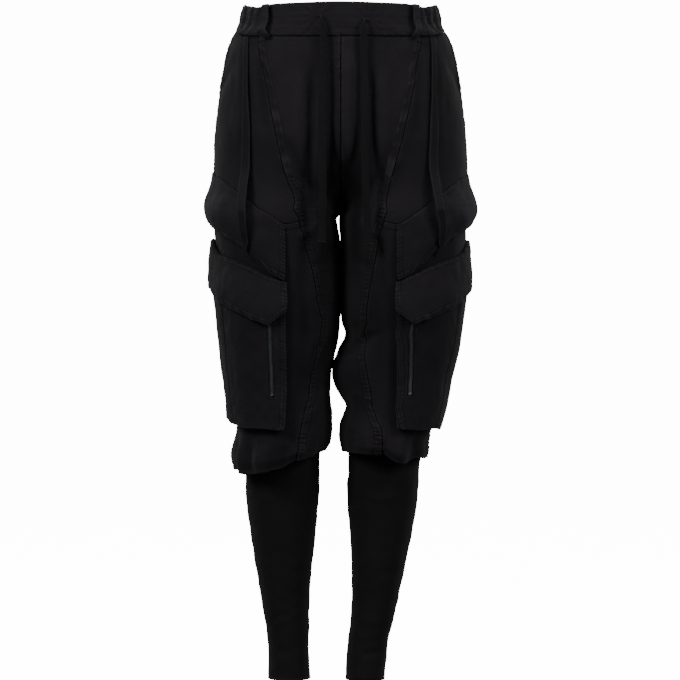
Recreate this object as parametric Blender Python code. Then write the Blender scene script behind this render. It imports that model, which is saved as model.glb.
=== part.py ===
"""Drop-crotch cargo joggers, worn and hollow, made from the pieces that are cut and sewn.

Frame: metres, +Z up, the front faces -Y, +X is the viewer's right.  The origin is the middle
of the waist, where the wearer holds the garment up.

One cloth surface is worked out for each leg from short tables of sizes.  A place on it is a
pair (row, column): rows run from the waist seam to the gathered cuff, columns from the centre
front (the inseam below the crotch) round the side seam to the centre back.  The panels are
blocks of that grid given a thickness, and what lies on a panel is the same grid moved out.
"""
import bpy
import bmesh
import numpy as np
from functools import lru_cache
from math import pi, sin, cos, sqrt

MM = 0.001
SEAM_GAP = 0.3 * MM          # between two pieces at a seam
WOVEN = 1.4 * MM             # thickness of the brushed twill
KNIT = 1.3 * MM              # thickness of the jersey lower legs
FOLDED = 2.2 * MM            # two layers of twill: flaps and tiers
BAND_WALL = 3.0 * MM         # waistband: two layers and the elastic
FACING_DEPTH = 2.3 * MM      # the hip pocket facing lies this far under the outer cloth

CROTCH_Z = -291 * MM
CUFF_Z = -640 * MM           # from here down the columns keep their places
SEAT_Z = -150 * MM           # the legs start to part here
HIP_SQUARE = 2.25            # how square a section is (2 is an ellipse)
LEG_SQUARE = 2.12


def table(columns, *rows):
    """Named columns of sizes in millimetres, a row for each section, sorted by the first."""
    names = columns.split()
    ordered = np.array(sorted(rows), float) * MM
    return {name: ordered[:, k] for k, name in enumerate(names)}


def blend(xs, ys, x):
    """Smooth curve through the points (xs, ys) that never overshoots; level past the ends."""
    xs, ys = np.asarray(xs, float), np.asarray(ys, float)
    step = np.diff(xs)
    slope = np.diff(ys) / step
    lean = np.zeros(len(xs))
    for k in range(1, len(xs) - 1):
        if slope[k - 1] * slope[k] > 0:
            lean[k] = 2 / (1 / slope[k - 1] + 1 / slope[k])
    x = min(max(x, xs[0]), xs[-1])
    k = min(max(int(np.searchsorted(xs, x)) - 1, 0), len(step) - 1)
    t = (x - xs[k]) / step[k]
    return ((1 + 2 * t) * (1 - t) ** 2 * ys[k] + t * (1 - t) ** 2 * step[k] * lean[k]
            + t * t * (3 - 2 * t) * ys[k + 1] + t * t * (t - 1) * step[k] * lean[k + 1])


def at(sizes, name, x):
    """The named column of a table at x, which is measured in the table's first column."""
    key = next(iter(sizes))
    return blend(sizes[key], sizes[name], x)


def ease(a, b, x):
    """0 before a, 1 after b, smooth between them."""
    t = min(max((x - a) / (b - a), 0.0), 1.0)
    return t * t * (3 - 2 * t)


# ---- sizes of the two legs: distances from the middle plane, positive to the leg's own side
LEG = {
    "left": table(
        "z outer inner front back",
        (30, 143, 0, -104, 108), (8, 148.5, 0, -106, 111), (-10, 151.5, 0, -108.4, 114.4),
        (-17, 155, 0, -109.2, 115.6), (-27, 166, 0, -110.2, 117.3), (-36, 168.5, 0, -111.2, 118.8), (-60, 174.5, 0, -114, 123),
        (-105, 180.5, 0, -118, 131), (-150, 187, 0, -121, 136), (-195, 190, 0, -122, 138),
        (-240, 191, 0, -121, 134), (-288, 190, 0.4, -119, 125), (-298, 190, 7.5, -118, 123),
        (-330, 189, 2.0, -116, 118), (-370, 183, 1.2, -113, 110), (-420, 176, 1.2, -110, 102),
        (-450, 173, 2.2, -107, 98), (-475, 170.5, 4.5, -105, 95), (-498, 168, 9, -104, 94),
        (-530, 164, 16, -102, 91), (-558, 160, 18, -101, 90), (-590, 157, 14.5, -101, 90),
        (-612, 155.5, 14, -102, 92), (-635, 157.5, 17, -105, 96), (-650, 160.5, 26, -106, 97),
        (-690, 158, 29, -104, 95)),
    "right": table(
        "z outer inner front back",
        (30, 141, 0, -104, 108), (8, 146.5, 0, -106, 111), (-10, 149.5, 0, -108.4, 114.4),
        (-17, 153.5, 0, -109.2, 115.6), (-27, 163.5, 0, -110.2, 117.3), (-36, 166, 0, -111.2, 118.8), (-60, 172.5, 0, -114, 123),
        (-105, 180, 0, -118, 131), (-150, 185.5, 0, -121, 136), (-195, 189, 0, -122, 138),
        (-240, 190, 0, -121, 134), (-288, 189, 0.4, -119, 125), (-298, 188, -2.3, -118, 123),
        (-330, 187, -0.6, -116, 118), (-370, 181, 0.2, -113, 110), (-420, 174, 0.4, -110, 102),
        (-450, 170, 1.5, -107, 98), (-470, 167, 7.5, -105, 95), (-498, 162, -5, -104, 94),
        (-528, 154, -12.5, -102, 91), (-545, 151, -9, -101, 90), (-564, 147, 0.5, -101, 90),
        (-579, 143.5, 9, -101, 90), (-591, 141, 4, -101, 90), (-607, 136, -1, -102, 91),
        (-622, 130.5, -2, -104, 94), (-640, 128, 0.5, -105, 96), (-690, 129, 2, -104, 95)),
}
SHANK = {
    "left": table(
        "z outer inner front back",
        (-620, 144, 31, -66, 70), (-680, 143, 32, -66, 72), (-700, 143.5, 32, -63, 75),
        (-733, 141, 34.5, -59, 77), (-780, 134.5, 39, -54, 74), (-822, 128, 43.5, -50, 67),
        (-864, 120.5, 46.5, -46, 58), (-903, 114.5, 48, -43, 51), (-930, 110.5, 48, -42, 47),
        (-955, 109, 48, -43, 45), (-986, 109.5, 45.5, -45, 45)),
    "right": table(
        "z outer inner front back",
        (-620, 119, 11, -66, 70), (-680, 117.5, 10.5, -66, 72), (-700, 116.5, 8.6, -63, 75),
        (-733, 112.8, 10, -59, 77), (-780, 105, 13.8, -54, 74), (-822, 96, 15.5, -50, 67),
        (-864, 87, 15.8, -46, 58), (-903, 78, 13.8, -43, 51), (-930, 71.5, 10, -42, 47),
        (-955, 69, 8, -43, 45), (-988, 66, 6.2, -45, 45)),
}
SHANK_TOP = {"left": -626 * MM, "right": -622 * MM}
SHANK_HEM = {"left": -986 * MM, "right": -987 * MM}

# the slanting front seam and the seam that goes on down the inside of the leg, seen from the front
FRONT_SEAM = {
    "left": table("z x", (-47, 121), (-102, 111), (-151, 101), (-203, 90.5), (-248, 79),
                  (-264, 71.5), (-298, 63), (-341, 51), (-385, 39.6), (-433, 32.3), (-452, 28),
                  (-490, 34), (-506, 35.4), (-559, 45.6), (-602, 57), (-640, 61.5), (-690, 62)),
    "right": table("z x", (-45, 118), (-74, 111.3), (-110, 106.3), (-150, 97.4), (-185, 90),
                   (-225, 79), (-261, 70), (-298, 62.6), (-356, 50), (-427, 38), (-446, 36.6),
                   (-460, 36), (-503, 33.7), (-528, 37.2), (-574, 47), (-601, 54), (-612, 59),
                   (-640, 60), (-690, 60)),
}
POCKET_EDGE_X = 81 * MM      # the pockets' front edges hang straight down here

# ---- the grid: what each numbered column and row stands for
COL_FRONT, COL_SEAM, COL_POCKET, COL_RIDGE, COL_SIDE, COL_HEEL, COL_BACK = 0, 6, 9, 14, 16, 18, 27
RIDGE_U, SIDE_U, HEEL_U = 0.42, 0.50, 0.585
ROW_WAIST, ROW_HIP, ROW_FLAP, ROW_BASE, ROW_CUFF, ROW_TUCK = 0, 10, 14, 23, 27, 30
UPPER_SHARE = (0, .05, .18, .33, .48, .63, .77, .86, .93, .98, 1)
LEVEL = {
    "left": table("col waist hip flap base cuff",
                  (0, -36.5, -291, -395, -613, -644), (6, -34, -305, -395, -614, -656),
                  (9, -30, -310, -394, -614, -668), (10.1, -27.5, -293, -385, -613, -672),
                  (11.6, -23.5, -266, -369, -611, -676), (13, -20, -243, -359, -608, -678),
                  (14, -18.5, -236, -352.5, -605, -677),
                  (16, -17, -226, -326, -595, -673), (18, -16, -222, -326, -593, -671),
                  (22, -14.5, -245, -360, -600, -668), (27, -13, -291, -395, -613, -644)),
    "right": table("col waist hip flap base cuff",
                   (0, -36.5, -291, -395, -611, -646), (6, -34, -305, -395, -612, -648),
                   (9, -30, -310, -394, -613, -659), (10.1, -27.5, -293, -383, -612, -661),
                   (11.6, -23.5, -266, -368, -610, -657), (13, -20, -243.5, -359, -609, -654),
                   (14, -18.5, -237, -352, -609, -655),
                   (16, -17, -228, -328, -610, -656), (18, -16, -224, -328, -609, -660),
                   (22, -14.5, -247, -360, -608, -662), (27, -13, -291, -395, -611, -646)),
}

# the largest folds: a line down the front or back, how far it sinks (-) or stands out, its width
FOLD_COLUMNS = "face side x_top z_top x_low z_low depth width"
FOLDS = (
    ("front", "left", 42, -105, 44, -300, -7, 9),
    ("front", "left", 14, -50, 17, -285, -5, 8),
    ("front", "left", 27, -80, 29, -300, 3, 8),
    ("front", "right", 9, -60, 8, -235, 4, 10),
    ("front", "right", 41, -100, 40, -290, -7, 9),
    ("front", "left", 52, -330, 62, -560, -4, 11),
    ("front", "right", 54, -330, 60, -575, -4, 11),
    ("front", "left", 20, -480, 48, -560, -4, 10),
    ("front", "right", 8, -505, 46, -470, -4, 10),
    ("back", "left", 28, -120, 46, -330, -6, 14),
    ("back", "right", 28, -120, 46, -330, -6, 14),
    ("back", "left", 85, -330, 98, -590, -5, 14),
    ("back", "right", 85, -330, 92, -590, -5, 14),
)
GATHERS = 8                  # soft scallops round each blouse above the knit
GATHER_DEPTH = 4.5 * MM
GATHER_TOP = -600 * MM
GATHER_FULL = -650 * MM
SIGN = {"left": -1, "right": 1}


def round_power(value, square):
    return np.sign(value) * abs(value) ** (2 / square)


@lru_cache(maxsize=None)
def extents(part, side, z):
    """Outer, inner, front and back of the leg or the shank at height z."""
    sizes = (LEG if part == "leg" else SHANK)[side]
    return tuple(at(sizes, name, z) for name in ("outer", "inner", "front", "back"))


def ring(part, side, z, u, square=LEG_SQUARE):
    """A closed section: u 0 and 1 at the inside of the leg, 0.25 front, 0.5 side, 0.75 back."""
    outer, inner, front, back = extents(part, side, z)
    turn = 2 * pi * (u - 0.5)
    return np.array([(outer + inner) / 2 + (outer - inner) / 2 * round_power(cos(turn), square),
                     (front + back) / 2 + (back - front) / 2 * round_power(sin(turn), square)])


def fork_share(z):
    """How far the two legs have parted: the crotch seam curves under, seen from the side."""
    return min(max((SEAT_Z - z) / (SEAT_Z - CROTCH_Z), 0.0), 1.0) ** 3


def section(side, z, u):
    """The smooth outer face at height z, in the leg's own side; above the crotch half a body."""
    share = fork_share(z)
    spot = ring("leg", side, z, u) if share > 0 else 0
    if share == 1:
        return spot
    outer, inner, front, back = extents("leg", side, z)
    turn = pi * (u - 0.5)
    half = np.array([inner + (outer - inner) * abs(cos(turn)) ** (2 / HIP_SQUARE),
                     (front + back) / 2 + (back - front) / 2 * round_power(sin(turn), HIP_SQUARE)])
    return spot * share + half * (1 - share)


def u_at_x(side, z, x):
    """The place on the front of a section that lies x from the middle plane."""
    low, high = 0.0, 0.5
    for _ in range(30):
        mid = (low + high) / 2
        if section(side, z, mid)[0] < x:
            low = mid
        else:
            high = mid
    return low


def column_u(side, z, col):
    """Where a column lies round the section at height z."""
    z = max(z, CUFF_Z)
    seam = u_at_x(side, z, at(FRONT_SEAM[side], "x", z))
    below = ease(-0.19, -0.30, z)
    edge = seam + 0.3 * (SIDE_U - seam)
    edge += below * (u_at_x(side, z, POCKET_EDGE_X) - edge)
    ridge = edge + (SIDE_U - edge) * (COL_RIDGE - COL_POCKET) / (COL_SIDE - COL_POCKET)
    ridge += below * (RIDGE_U - ridge)
    return float(np.interp(col, (COL_FRONT, COL_SEAM, COL_POCKET, COL_RIDGE, COL_SIDE, COL_HEEL,
                                 COL_BACK), (0, seam, edge, ridge, SIDE_U, HEEL_U, 1)))


def level(side, name, col):
    return at(LEVEL[side], name, col * MM)


def row_z(side, row, col):
    """The height of a row at a column, down to the cuff edge."""
    if row <= ROW_HIP:
        share = float(np.interp(row, range(ROW_HIP + 1), UPPER_SHARE))
        top, low = "waist", "hip"
    elif row <= ROW_FLAP:
        share, top, low = (row - ROW_HIP) / (ROW_FLAP - ROW_HIP), "hip", "flap"
    elif row <= ROW_BASE:
        share, top, low = (row - ROW_FLAP) / (ROW_BASE - ROW_FLAP), "flap", "base"
    else:
        share, top, low = (row - ROW_BASE) / (ROW_CUFF - ROW_BASE), "base", "cuff"
    a, b = level(side, top, col), level(side, low, col)
    return a + (b - a) * min(share, 1.0)


def fold_depth(side, z, u, x):
    """What the largest folds and the cuff's gathers add along the normal."""
    depth = 0.0
    face = "front" if u < 0.5 else "back"
    for fold in FOLDS:
        line = dict(zip(FOLD_COLUMNS.split(), fold))
        if line["face"] != face or line["side"] != side:
            continue
        t = (z / MM - line["z_top"]) / (line["z_low"] - line["z_top"])
        if -0.15 < t < 1.15:
            mid = line["x_top"] + (line["x_low"] - line["x_top"]) * t
            fade = ease(-0.15, 0.15, t) * (1 - ease(0.85, 1.15, t))
            depth += line["depth"] * MM * fade * np.exp(-((x / MM - mid) / line["width"]) ** 2)
    swell = ease(GATHER_TOP, GATHER_FULL, z)
    if swell:
        turn = 2 * pi * u
        depth += GATHER_DEPTH * swell * sin(GATHERS * turn + 1.1 * sin(2 * turn + 0.8)) * sin(pi * u)
    return depth


def cloth_point(side, row, col):
    """A point of the outer face at (row, column)."""
    z = row_z(side, row, col)
    u = column_u(side, z, col)
    spot = section(side, z, u)
    nearby = section(side, z, min(u + 0.004, 1)) - section(side, z, max(u - 0.004, 0))
    normal = np.array([nearby[1], -nearby[0]]) / np.hypot(*nearby)
    out = 1 if normal @ (spot - section(side, z, 0.5) * 0.5) > 0 else -1
    spot = spot + normal * out * fold_depth(side, z, u, spot[0])
    if row >= ROW_CUFF:      # the cloth turns under, in to the knit
        tuck = (row - ROW_CUFF) / (ROW_TUCK - ROW_CUFF)
        reach = 0.14 + 0.86 * tuck ** 0.8
        z += 11 * MM * tuck ** 2.6
        knit = ring("shank", side, z, u)
        away = knit - ring("shank", side, z, (u + 0.5) % 1)
        knit = knit + away / np.hypot(*away) * SEAM_GAP * 1.6
        spot = spot + (knit - spot) * reach
    if row <= ROW_HIP:
        spot[0] = 0 if col in (COL_FRONT, COL_BACK) else max(spot[0], 0)
    elif row < ROW_CUFF:
        spot[0] = max(spot[0], extents("leg", side, z)[1])
    return np.array([SIGN[side] * spot[0], spot[1], z])


def unit(ways):
    return ways / np.linalg.norm(ways, axis=-1, keepdims=True)


def tangents(points, axis):
    """Directions along one axis of a grid: at each point half way between the two next to it."""
    steps = unit(np.diff(points, axis=axis))
    first, last = steps.take([0], axis=axis), steps.take([-1], axis=axis)
    before = np.concatenate([first, steps], axis=axis)
    after = np.concatenate([steps, last], axis=axis)
    return unit(before + after)


def grid_normals(points, side):
    """Outward normals of a grid whose columns run from the front round the side."""
    return unit(np.cross(tangents(points, 0), tangents(points, 1)) * SIGN[side])


def cloth_grid(side):
    """Every grid point of one leg and its outward normal."""
    rows, cols = ROW_TUCK + 1, COL_BACK + 1
    points = np.array([[cloth_point(side, r, c) for c in range(cols)] for r in range(rows)])
    down, around = tangents(points, 0), tangents(points, 1)
    inseam = unit(around[ROW_HIP + 1:, 0] + around[ROW_HIP + 1:, -1])
    around[ROW_HIP + 1:, 0] = around[ROW_HIP + 1:, -1] = inseam
    normals = np.cross(down, around) * SIGN[side]
    for col in (COL_FRONT, COL_BACK):
        normals[:ROW_HIP, col, 0] = 0
        normals[ROW_HIP, col] = (-0.7 * SIGN[side], 0, -0.7)
    return points, unit(normals)


GRID = {}


def on_cloth(side, row, col, out=0.0):
    """A point on the faceted cloth at any (row, column), moved out along the normal."""
    points, normals = GRID[side]
    r, c = min(int(row), ROW_TUCK - 1), min(int(col), COL_BACK - 1)
    fr, fc = row - r, col - c
    if fr + fc <= 1:
        weights = (((r, c), 1 - fr - fc), ((r, c + 1), fc), ((r + 1, c), fr))
    else:
        weights = (((r + 1, c + 1), fr + fc - 1), ((r + 1, c), 1 - fc), ((r, c + 1), 1 - fr))
    spot = sum(points[spot] * share for spot, share in weights)
    normal = sum(normals[spot] * share for spot, share in weights)
    return spot + normal / np.linalg.norm(normal) * out


# ---- making solids

FINISH = {
    "twill": ((0.0108, 0.0098, 0.0112), 0.88, 0.0),
    "jersey": ((0.0060, 0.0060, 0.0068), 0.93, 0.0),
    "cord": ((0.0085, 0.0095, 0.0110), 0.85, 0.0),
    "pocketing": ((0.0045, 0.0045, 0.0050), 0.95, 0.0),
    "zip_metal": ((0.060, 0.066, 0.070), 0.38, 0.9),
}


def finish(name):
    """The Principled material of that name, made once."""
    made = bpy.data.materials.get(name)
    if made is None:
        colour, roughness, metallic = FINISH[name]
        made = bpy.data.materials.new(name)
        made.use_nodes = True
        shader = made.node_tree.nodes["Principled BSDF"]
        shader.inputs["Base Color"].default_value = (*colour, 1)
        shader.inputs["Roughness"].default_value = roughness
        shader.inputs["Metallic"].default_value = metallic
        made.diffuse_color = (*colour, 1)
    return made


def solid(name, material, vertices, faces):
    """One closed body, its faces turned outward."""
    mesh = bpy.data.meshes.new(name)
    mesh.from_pydata([tuple(v) for v in vertices], [], faces)
    mesh.validate()
    shape = bmesh.new()
    shape.from_mesh(mesh)
    bmesh.ops.recalc_face_normals(shape, faces=shape.faces)
    if shape.calc_volume(signed=True) < 0:
        bmesh.ops.reverse_faces(shape, faces=shape.faces)
    shape.to_mesh(mesh)
    shape.free()
    mesh.shade_smooth()
    mesh.set_sharp_from_angle(angle=pi / 4)
    piece = bpy.data.objects.new(name, mesh)
    mesh.materials.append(finish(material))
    bpy.context.scene.collection.objects.link(piece)
    return piece


def wall(name, material, outer, inner, closed=False):
    """A cloth wall between two grids of points; a closed one is a tube, open at its ends."""
    outer, inner = np.asarray(outer), np.asarray(inner)
    rows, cols = outer.shape[:2]
    count = rows * cols
    vertices = np.concatenate([outer.reshape(-1, 3), inner.reshape(-1, 3)])
    faces = []
    last = cols if closed else cols - 1
    for r in range(rows - 1):
        for k in range(last):
            a, b = r * cols + k, r * cols + (k + 1) % cols
            c, d = a + cols, b + cols
            faces += [(a, b, c), (b, d, c)]
            faces += [(a + count, c + count, b + count), (b + count, c + count, d + count)]
    edges = [(r * cols + k, r * cols + (k + 1) % cols, r > 0) for r in (0, rows - 1)
             for k in range(last)]
    if not closed:
        edges += [(r * cols + k, (r + 1) * cols + k, k == 0) for k in (0, cols - 1)
                  for r in range(rows - 1)]
    for a, b, turned in edges:
        for corner in ((a, a + count, b + count), (a, b + count, b)):
            faces.append(corner[::-1] if turned else corner)
    return solid(name, material, vertices, faces)


def trim(points, normals, edges):
    """Moves the named edges of a grid in by half a seam gap, along the cloth."""
    points = points.copy()
    moves = {"top": (np.s_[0, :], np.s_[1, :]), "low": (np.s_[-1, :], np.s_[-2, :]),
             "front": (np.s_[:, 0], np.s_[:, 1]), "back": (np.s_[:, -1], np.s_[:, -2])}
    for edge in edges:
        here, inside = moves[edge]
        way = points[inside] - points[here]
        way -= normals[here] * (way * normals[here]).sum(axis=1, keepdims=True)
        points[here] += way / np.linalg.norm(way, axis=1, keepdims=True) * SEAM_GAP / 2
    return points


def panel(name, side, rows, cols, edges, thick=WOVEN, material="twill"):
    """A block of the cloth grid as a wall, its seam edges trimmed."""
    points, normals = (part[rows[0]:rows[1] + 1, cols[0]:cols[1] + 1] for part in GRID[side])
    outer = trim(points, normals, edges)
    return wall(name, material, outer, outer - normals * thick)


# ---- the panels of a leg

MOUTH_LOW_ROW = 6            # the hip pocket's mouth ends at the side seam here
MOUTH_TOP_COL = 13.2         # and starts here, at the waist seam
MOUTH_GAPE = 2.5 * MM         # how far its edge stands off


def mouth_col(row):
    """The column where the hip pocket's mouth edge crosses a row."""
    t = min(row / MOUTH_LOW_ROW, 1.0)
    return MOUTH_TOP_COL + (COL_SIDE - MOUTH_TOP_COL) * t ** 1.6


def hip_yoke(side):
    """From the slanting seam to the pocket mouth and the side seam, waist to hip seam."""
    cols = 10
    points = np.empty((ROW_HIP + 1, cols + 1, 3))
    for row in range(ROW_HIP + 1):
        end = mouth_col(row)
        for k in range(cols + 1):
            col = COL_SEAM + (end - COL_SEAM) * k / cols
            gape = sin(pi * min(row / MOUTH_LOW_ROW, 1.0)) * (k / cols) ** 4
            points[row, k] = on_cloth(side, row, col, gape * MOUTH_GAPE)
    normals = grid_normals(points, side)
    normals[:, 0] = GRID[side][1][:ROW_HIP + 1, COL_SEAM]
    normals[-1] = [GRID[side][1][ROW_HIP, COL_SEAM + k] for k in range(cols + 1)]
    normals[MOUTH_LOW_ROW:, -1] = GRID[side][1][MOUTH_LOW_ROW:ROW_HIP + 1, COL_SIDE]
    outer = trim(points, normals, ("top", "low", "front", "back"))
    return wall(f"hip_yoke_{side}", "twill", outer, outer - normals * WOVEN)


def hip_facing(side):
    """The dark cloth that shows in the gaping pocket mouth, just under yoke and back."""
    rows, cols = range(0, MOUTH_LOW_ROW + 2), (12, 13, 14, 15, 16, 16.5)
    points = np.array([[on_cloth(side, row, col, -FACING_DEPTH) for col in cols] for row in rows])
    inner = np.array([[on_cloth(side, row, col, -FACING_DEPTH - WOVEN) for col in cols]
                      for row in rows])
    points[0, :, 2] -= SEAM_GAP / 2
    inner[0, :, 2] -= SEAM_GAP / 2
    return wall(f"hip_facing_{side}", "pocketing", points, inner)


def leg_panels(side):
    panel(f"front_centre_{side}", side, (ROW_WAIST, ROW_TUCK), (COL_FRONT, COL_SEAM),
          ("top", "front", "back"))
    panel(f"leg_front_{side}", side, (ROW_HIP, ROW_TUCK), (COL_SEAM, COL_SIDE),
          ("top", "front", "back"))
    panel(f"back_{side}", side, (ROW_WAIST, ROW_TUCK), (COL_SIDE, COL_BACK),
          ("top", "front", "back"))
    hip_yoke(side)
    hip_facing(side)


def knit_leg(side):
    """The jersey tube from just inside the cuff to the raw hem."""
    rows = 13
    places = [column_u(side, CUFF_Z, col) for col in range(COL_BACK)]
    top, hem = SHANK_TOP[side], SHANK_HEM[side]
    outer, inner = np.empty((rows, len(places), 3)), np.empty((rows, len(places), 3))
    for r in range(rows):
        z = top + (hem - top) * (r / (rows - 1))
        for k, u in enumerate(places):
            spot = ring("shank", side, z, u)
            way = spot - ring("shank", side, z, (u + 0.5) % 1)
            way /= np.hypot(*way)
            outer[r, k] = (SIGN[side] * spot[0], spot[1], z)
            spot = spot - way * KNIT
            inner[r, k] = (SIGN[side] * spot[0], spot[1], z)
    wall(f"knit_leg_{side}", "jersey", outer, inner, closed=True)


# ---- the waistband

BAND_HEIGHT = table("x height", (0, 51.2), (60, 49.5), (100, 48), (112, 45.5), (126, 41.5), (140, 39.5),
                    (150, 38.5))
BAND_BACK_HEIGHT = 41.5 * MM
BAND_PROUD = 1.0 * MM        # the flat front's outer face stands this far off the cloth face
ELASTIC_PROUD = 2.4 * MM
ELASTIC_GATHERS = 30
ELASTIC_DEPTH = 2.2 * MM
BAND_FRONT_U = {"left": 0.243, "right": 0.238}   # the flat front ends under the belt loops


def band_height(side, u):
    """The band's height, which is greatest at the centre front."""
    if u > 0.5:
        return BAND_BACK_HEIGHT + (at(BAND_HEIGHT, "height", 1) - BAND_BACK_HEIGHT) * ease(0.6, 0.5, u)
    return at(BAND_HEIGHT, "height", section(side, 0, u)[0])


def waist_place(side, u, height, out):
    """A point of the waistband: u round the half, height above the waist seam."""
    col = float(np.interp(u, [column_u(side, -30 * MM, c) for c in (0, 6, 9, 14, 16, 18, 27)],
                          (0, 6, 9, 14, 16, 18, 27)))
    z = level(side, "waist", col) + height
    spot = section(side, z, u)
    nearby = section(side, z, min(u + 0.01, 1)) - section(side, z, max(u - 0.01, 0))
    normal = np.array([nearby[1], -nearby[0]]) / np.hypot(*nearby)
    if normal[0] * spot[0] + normal[1] * spot[1] < 0:
        normal = -normal
    if u in (0, 1):
        normal = np.array([0, np.sign(spot[1])])
    spot = spot + normal * out
    return np.array([SIGN[side] * spot[0], spot[1], z])


def band_wall(name, places, rows, proud, thick, ripple=None):
    """A stretch of waistband through (side, u) places; ripple gathers it."""
    waves = [ripple(k) * (0.7 + 0.3 * cos(2.2 * k)) if ripple else 0 for k in range(len(places))]
    outer, inner = [], []
    for r in range(rows, -1, -1):
        heights = [SEAM_GAP + (band_height(s, u) - SEAM_GAP) * r / rows for s, u in places]
        spots = [(s, u, height, w) for (s, u), height, w in zip(places, heights, waves)]
        outer.append([waist_place(s, u, height, proud + w) for s, u, height, w in spots])
        inner.append([waist_place(s, u, height, proud + w - thick) for s, u, height, w in spots])
    return wall(name, "twill", outer, inner)


def waistband():
    half = SEAM_GAP / 0.43           # in u, the gap where front and elastic meet
    front = [("left", BAND_FRONT_U["left"] * (1 - k / 7)) for k in range(7)]
    front += [("right", BAND_FRONT_U["right"] * k / 7) for k in range(8)]
    band_wall("waistband_front", front, 3, BAND_PROUD, BAND_WALL)
    steps = ELASTIC_GATHERS
    ring_places = []
    for k in range(steps):
        start = BAND_FRONT_U["right"] + half
        ring_places.append(("right", start + (1 - start) * k / steps))
    for k in range(steps + 1):
        start = BAND_FRONT_U["left"] + half
        ring_places.append(("left", 1 - (1 - start) * k / steps))
    band_wall("waistband_elastic", ring_places, 3, ELASTIC_PROUD, BAND_WALL,
              ripple=lambda k: ELASTIC_DEPTH * (0.5 if k % 2 else -0.5) * ease(0, 2, k)
              * ease(2 * steps, 2 * steps - 2, k))


LOOP_WIDTH = 12 * MM
LOOP_THICK = 1.8 * MM
LOOP_STAND = 6.2 * MM        # the clear space that a belt goes through
LOOP_BELOW = 3.5 * MM        # its lower end is sewn this far under the waist seam
LOOPS = {                    # half, face, distance from the middle plane, of its ends from the cloth
    "belt_loop_front_left": ("left", "front", 105.2 * MM, 3.0 * MM),
    "belt_loop_front_right": ("right", "front", 104.4 * MM, 3.0 * MM),
    "belt_loop_back_left": ("left", "back", 76 * MM, 3.3 * MM),
    "belt_loop_back_right": ("right", "back", 76 * MM, 3.3 * MM),
}
LOOP_PROFILE = ((-1, 0), (-2, 0.62), (-4.5, 1), (-17, 1.05), (-31, 1.05), (-43, 1), (-47.5, 0.55),
                (-50.5, 0))  # height from the band's top, share of the stand


def loop_place(side, face, x, height, out):
    """A point of a belt loop, which hangs straight down the band at x."""
    u = u_at_x(side, height - 28 * MM, x)
    return waist_place(side, u if face == "front" else 1 - u, height, out)


def belt_loop(name, side, face, x, base):
    """A strip sewn at the band's top and just under its seam, bowed out between."""
    u = u_at_x(side, 0, x)
    u = u if face == "front" else 1 - u
    top = band_height(side, u)
    stretch = (top + LOOP_BELOW) / -LOOP_PROFILE[-1][0]
    centre = np.array([loop_place(side, face, x, top + height * stretch, base + share * LOOP_STAND)
                       for height, share in LOOP_PROFILE])
    ahead, behind = (waist_place(side, u + d, 0, base) for d in (0.02, -0.02))
    across = (ahead - behind) / np.linalg.norm(ahead - behind)
    along = np.gradient(centre, axis=0)
    out = np.cross(across, along)
    out *= np.sign((out[3] * centre[3] * (1, 1, 0)).sum())
    out /= np.linalg.norm(out, axis=1, keepdims=True)
    sides = [centre + across * LOOP_WIDTH * share for share in (-0.5, 0, 0.5)]
    outer = np.stack([line + out * LOOP_THICK for line in sides], axis=1)
    wall(name, "twill", outer, np.stack(sides, axis=1))


# ---- pockets, which are the cloth grid moved out

TIER_COLS = (COL_POCKET, 18.6)
TIER = table("col drop puff tuck",       # drop below the hip line, how far it stands off
             (9, 81, 5, 3.2), (10, 84, 6, 3.2), (11.6, 78, 8, 3.4), (13.2, 83, 12, 4.0),
             (15, 77, 14.2, 4.2), (16, 77, 15, 4.2), (18.6, 75, 10, 3.0))
TIER_SAG = 1.8               # the tier is fullest low down
FACE_TOP_ROW = 15.2
FACE_STAND = 13.5 * MM
FACE_CORNER = 9 * MM
FOOT_STAND = 0.8 * MM        # what is sewn on the cloth clears its facets by this
FLAP_COLS = (8.9, 9.35, 10.0, 10.5, 11, 12, 13, 14, 15, 16, 17, 18, 18.7)
FLAP = table("col drop stand",           # drop of the lower edge below the flap line
             (8.9, 38, 17.5), (9.35, 49, 19), (10, 70, 20.5), (10.5, 69, 20.5), (11, 71.5, 20),
             (12, 69, 19.5), (13, 66.5, 18.5), (14, 63, 17.5), (15, 66, 16.8), (16, 73, 16.2),
             (17, 69, 14), (18, 57, 9.5), (18.7, 42, 7))
POCKET_COLS = (COL_POCKET, COL_RIDGE)
GUSSET_FOOT = 1.3 * MM
GUSSET_GAP = 0.6 * MM        # under the face's rim, whose facets are coarser than the curve
HEEL_COL = 18.2
POCKET_SIDE = table("col stand", (14, 13.5), (15, 13.3), (16, 12.5), (17.2, 7), (18, 1.7), (18.2, 0.8))
SIDE_COLS = (14, 15, 16, 16.6, 17.2, 17.6, 18, 18.2)


def row_at_z(side, z, col):
    """The row that passes through height z at a column."""
    low, high = 0.0, float(ROW_CUFF)
    for _ in range(30):
        mid = (low + high) / 2
        if row_z(side, mid, col) > z:
            low = mid
        else:
            high = mid
    return low


def lay_on(side, spots):
    """Points from a grid of (row, column, out)."""
    return np.array([[on_cloth(side, *spot) for spot in line] for line in spots])


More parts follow.
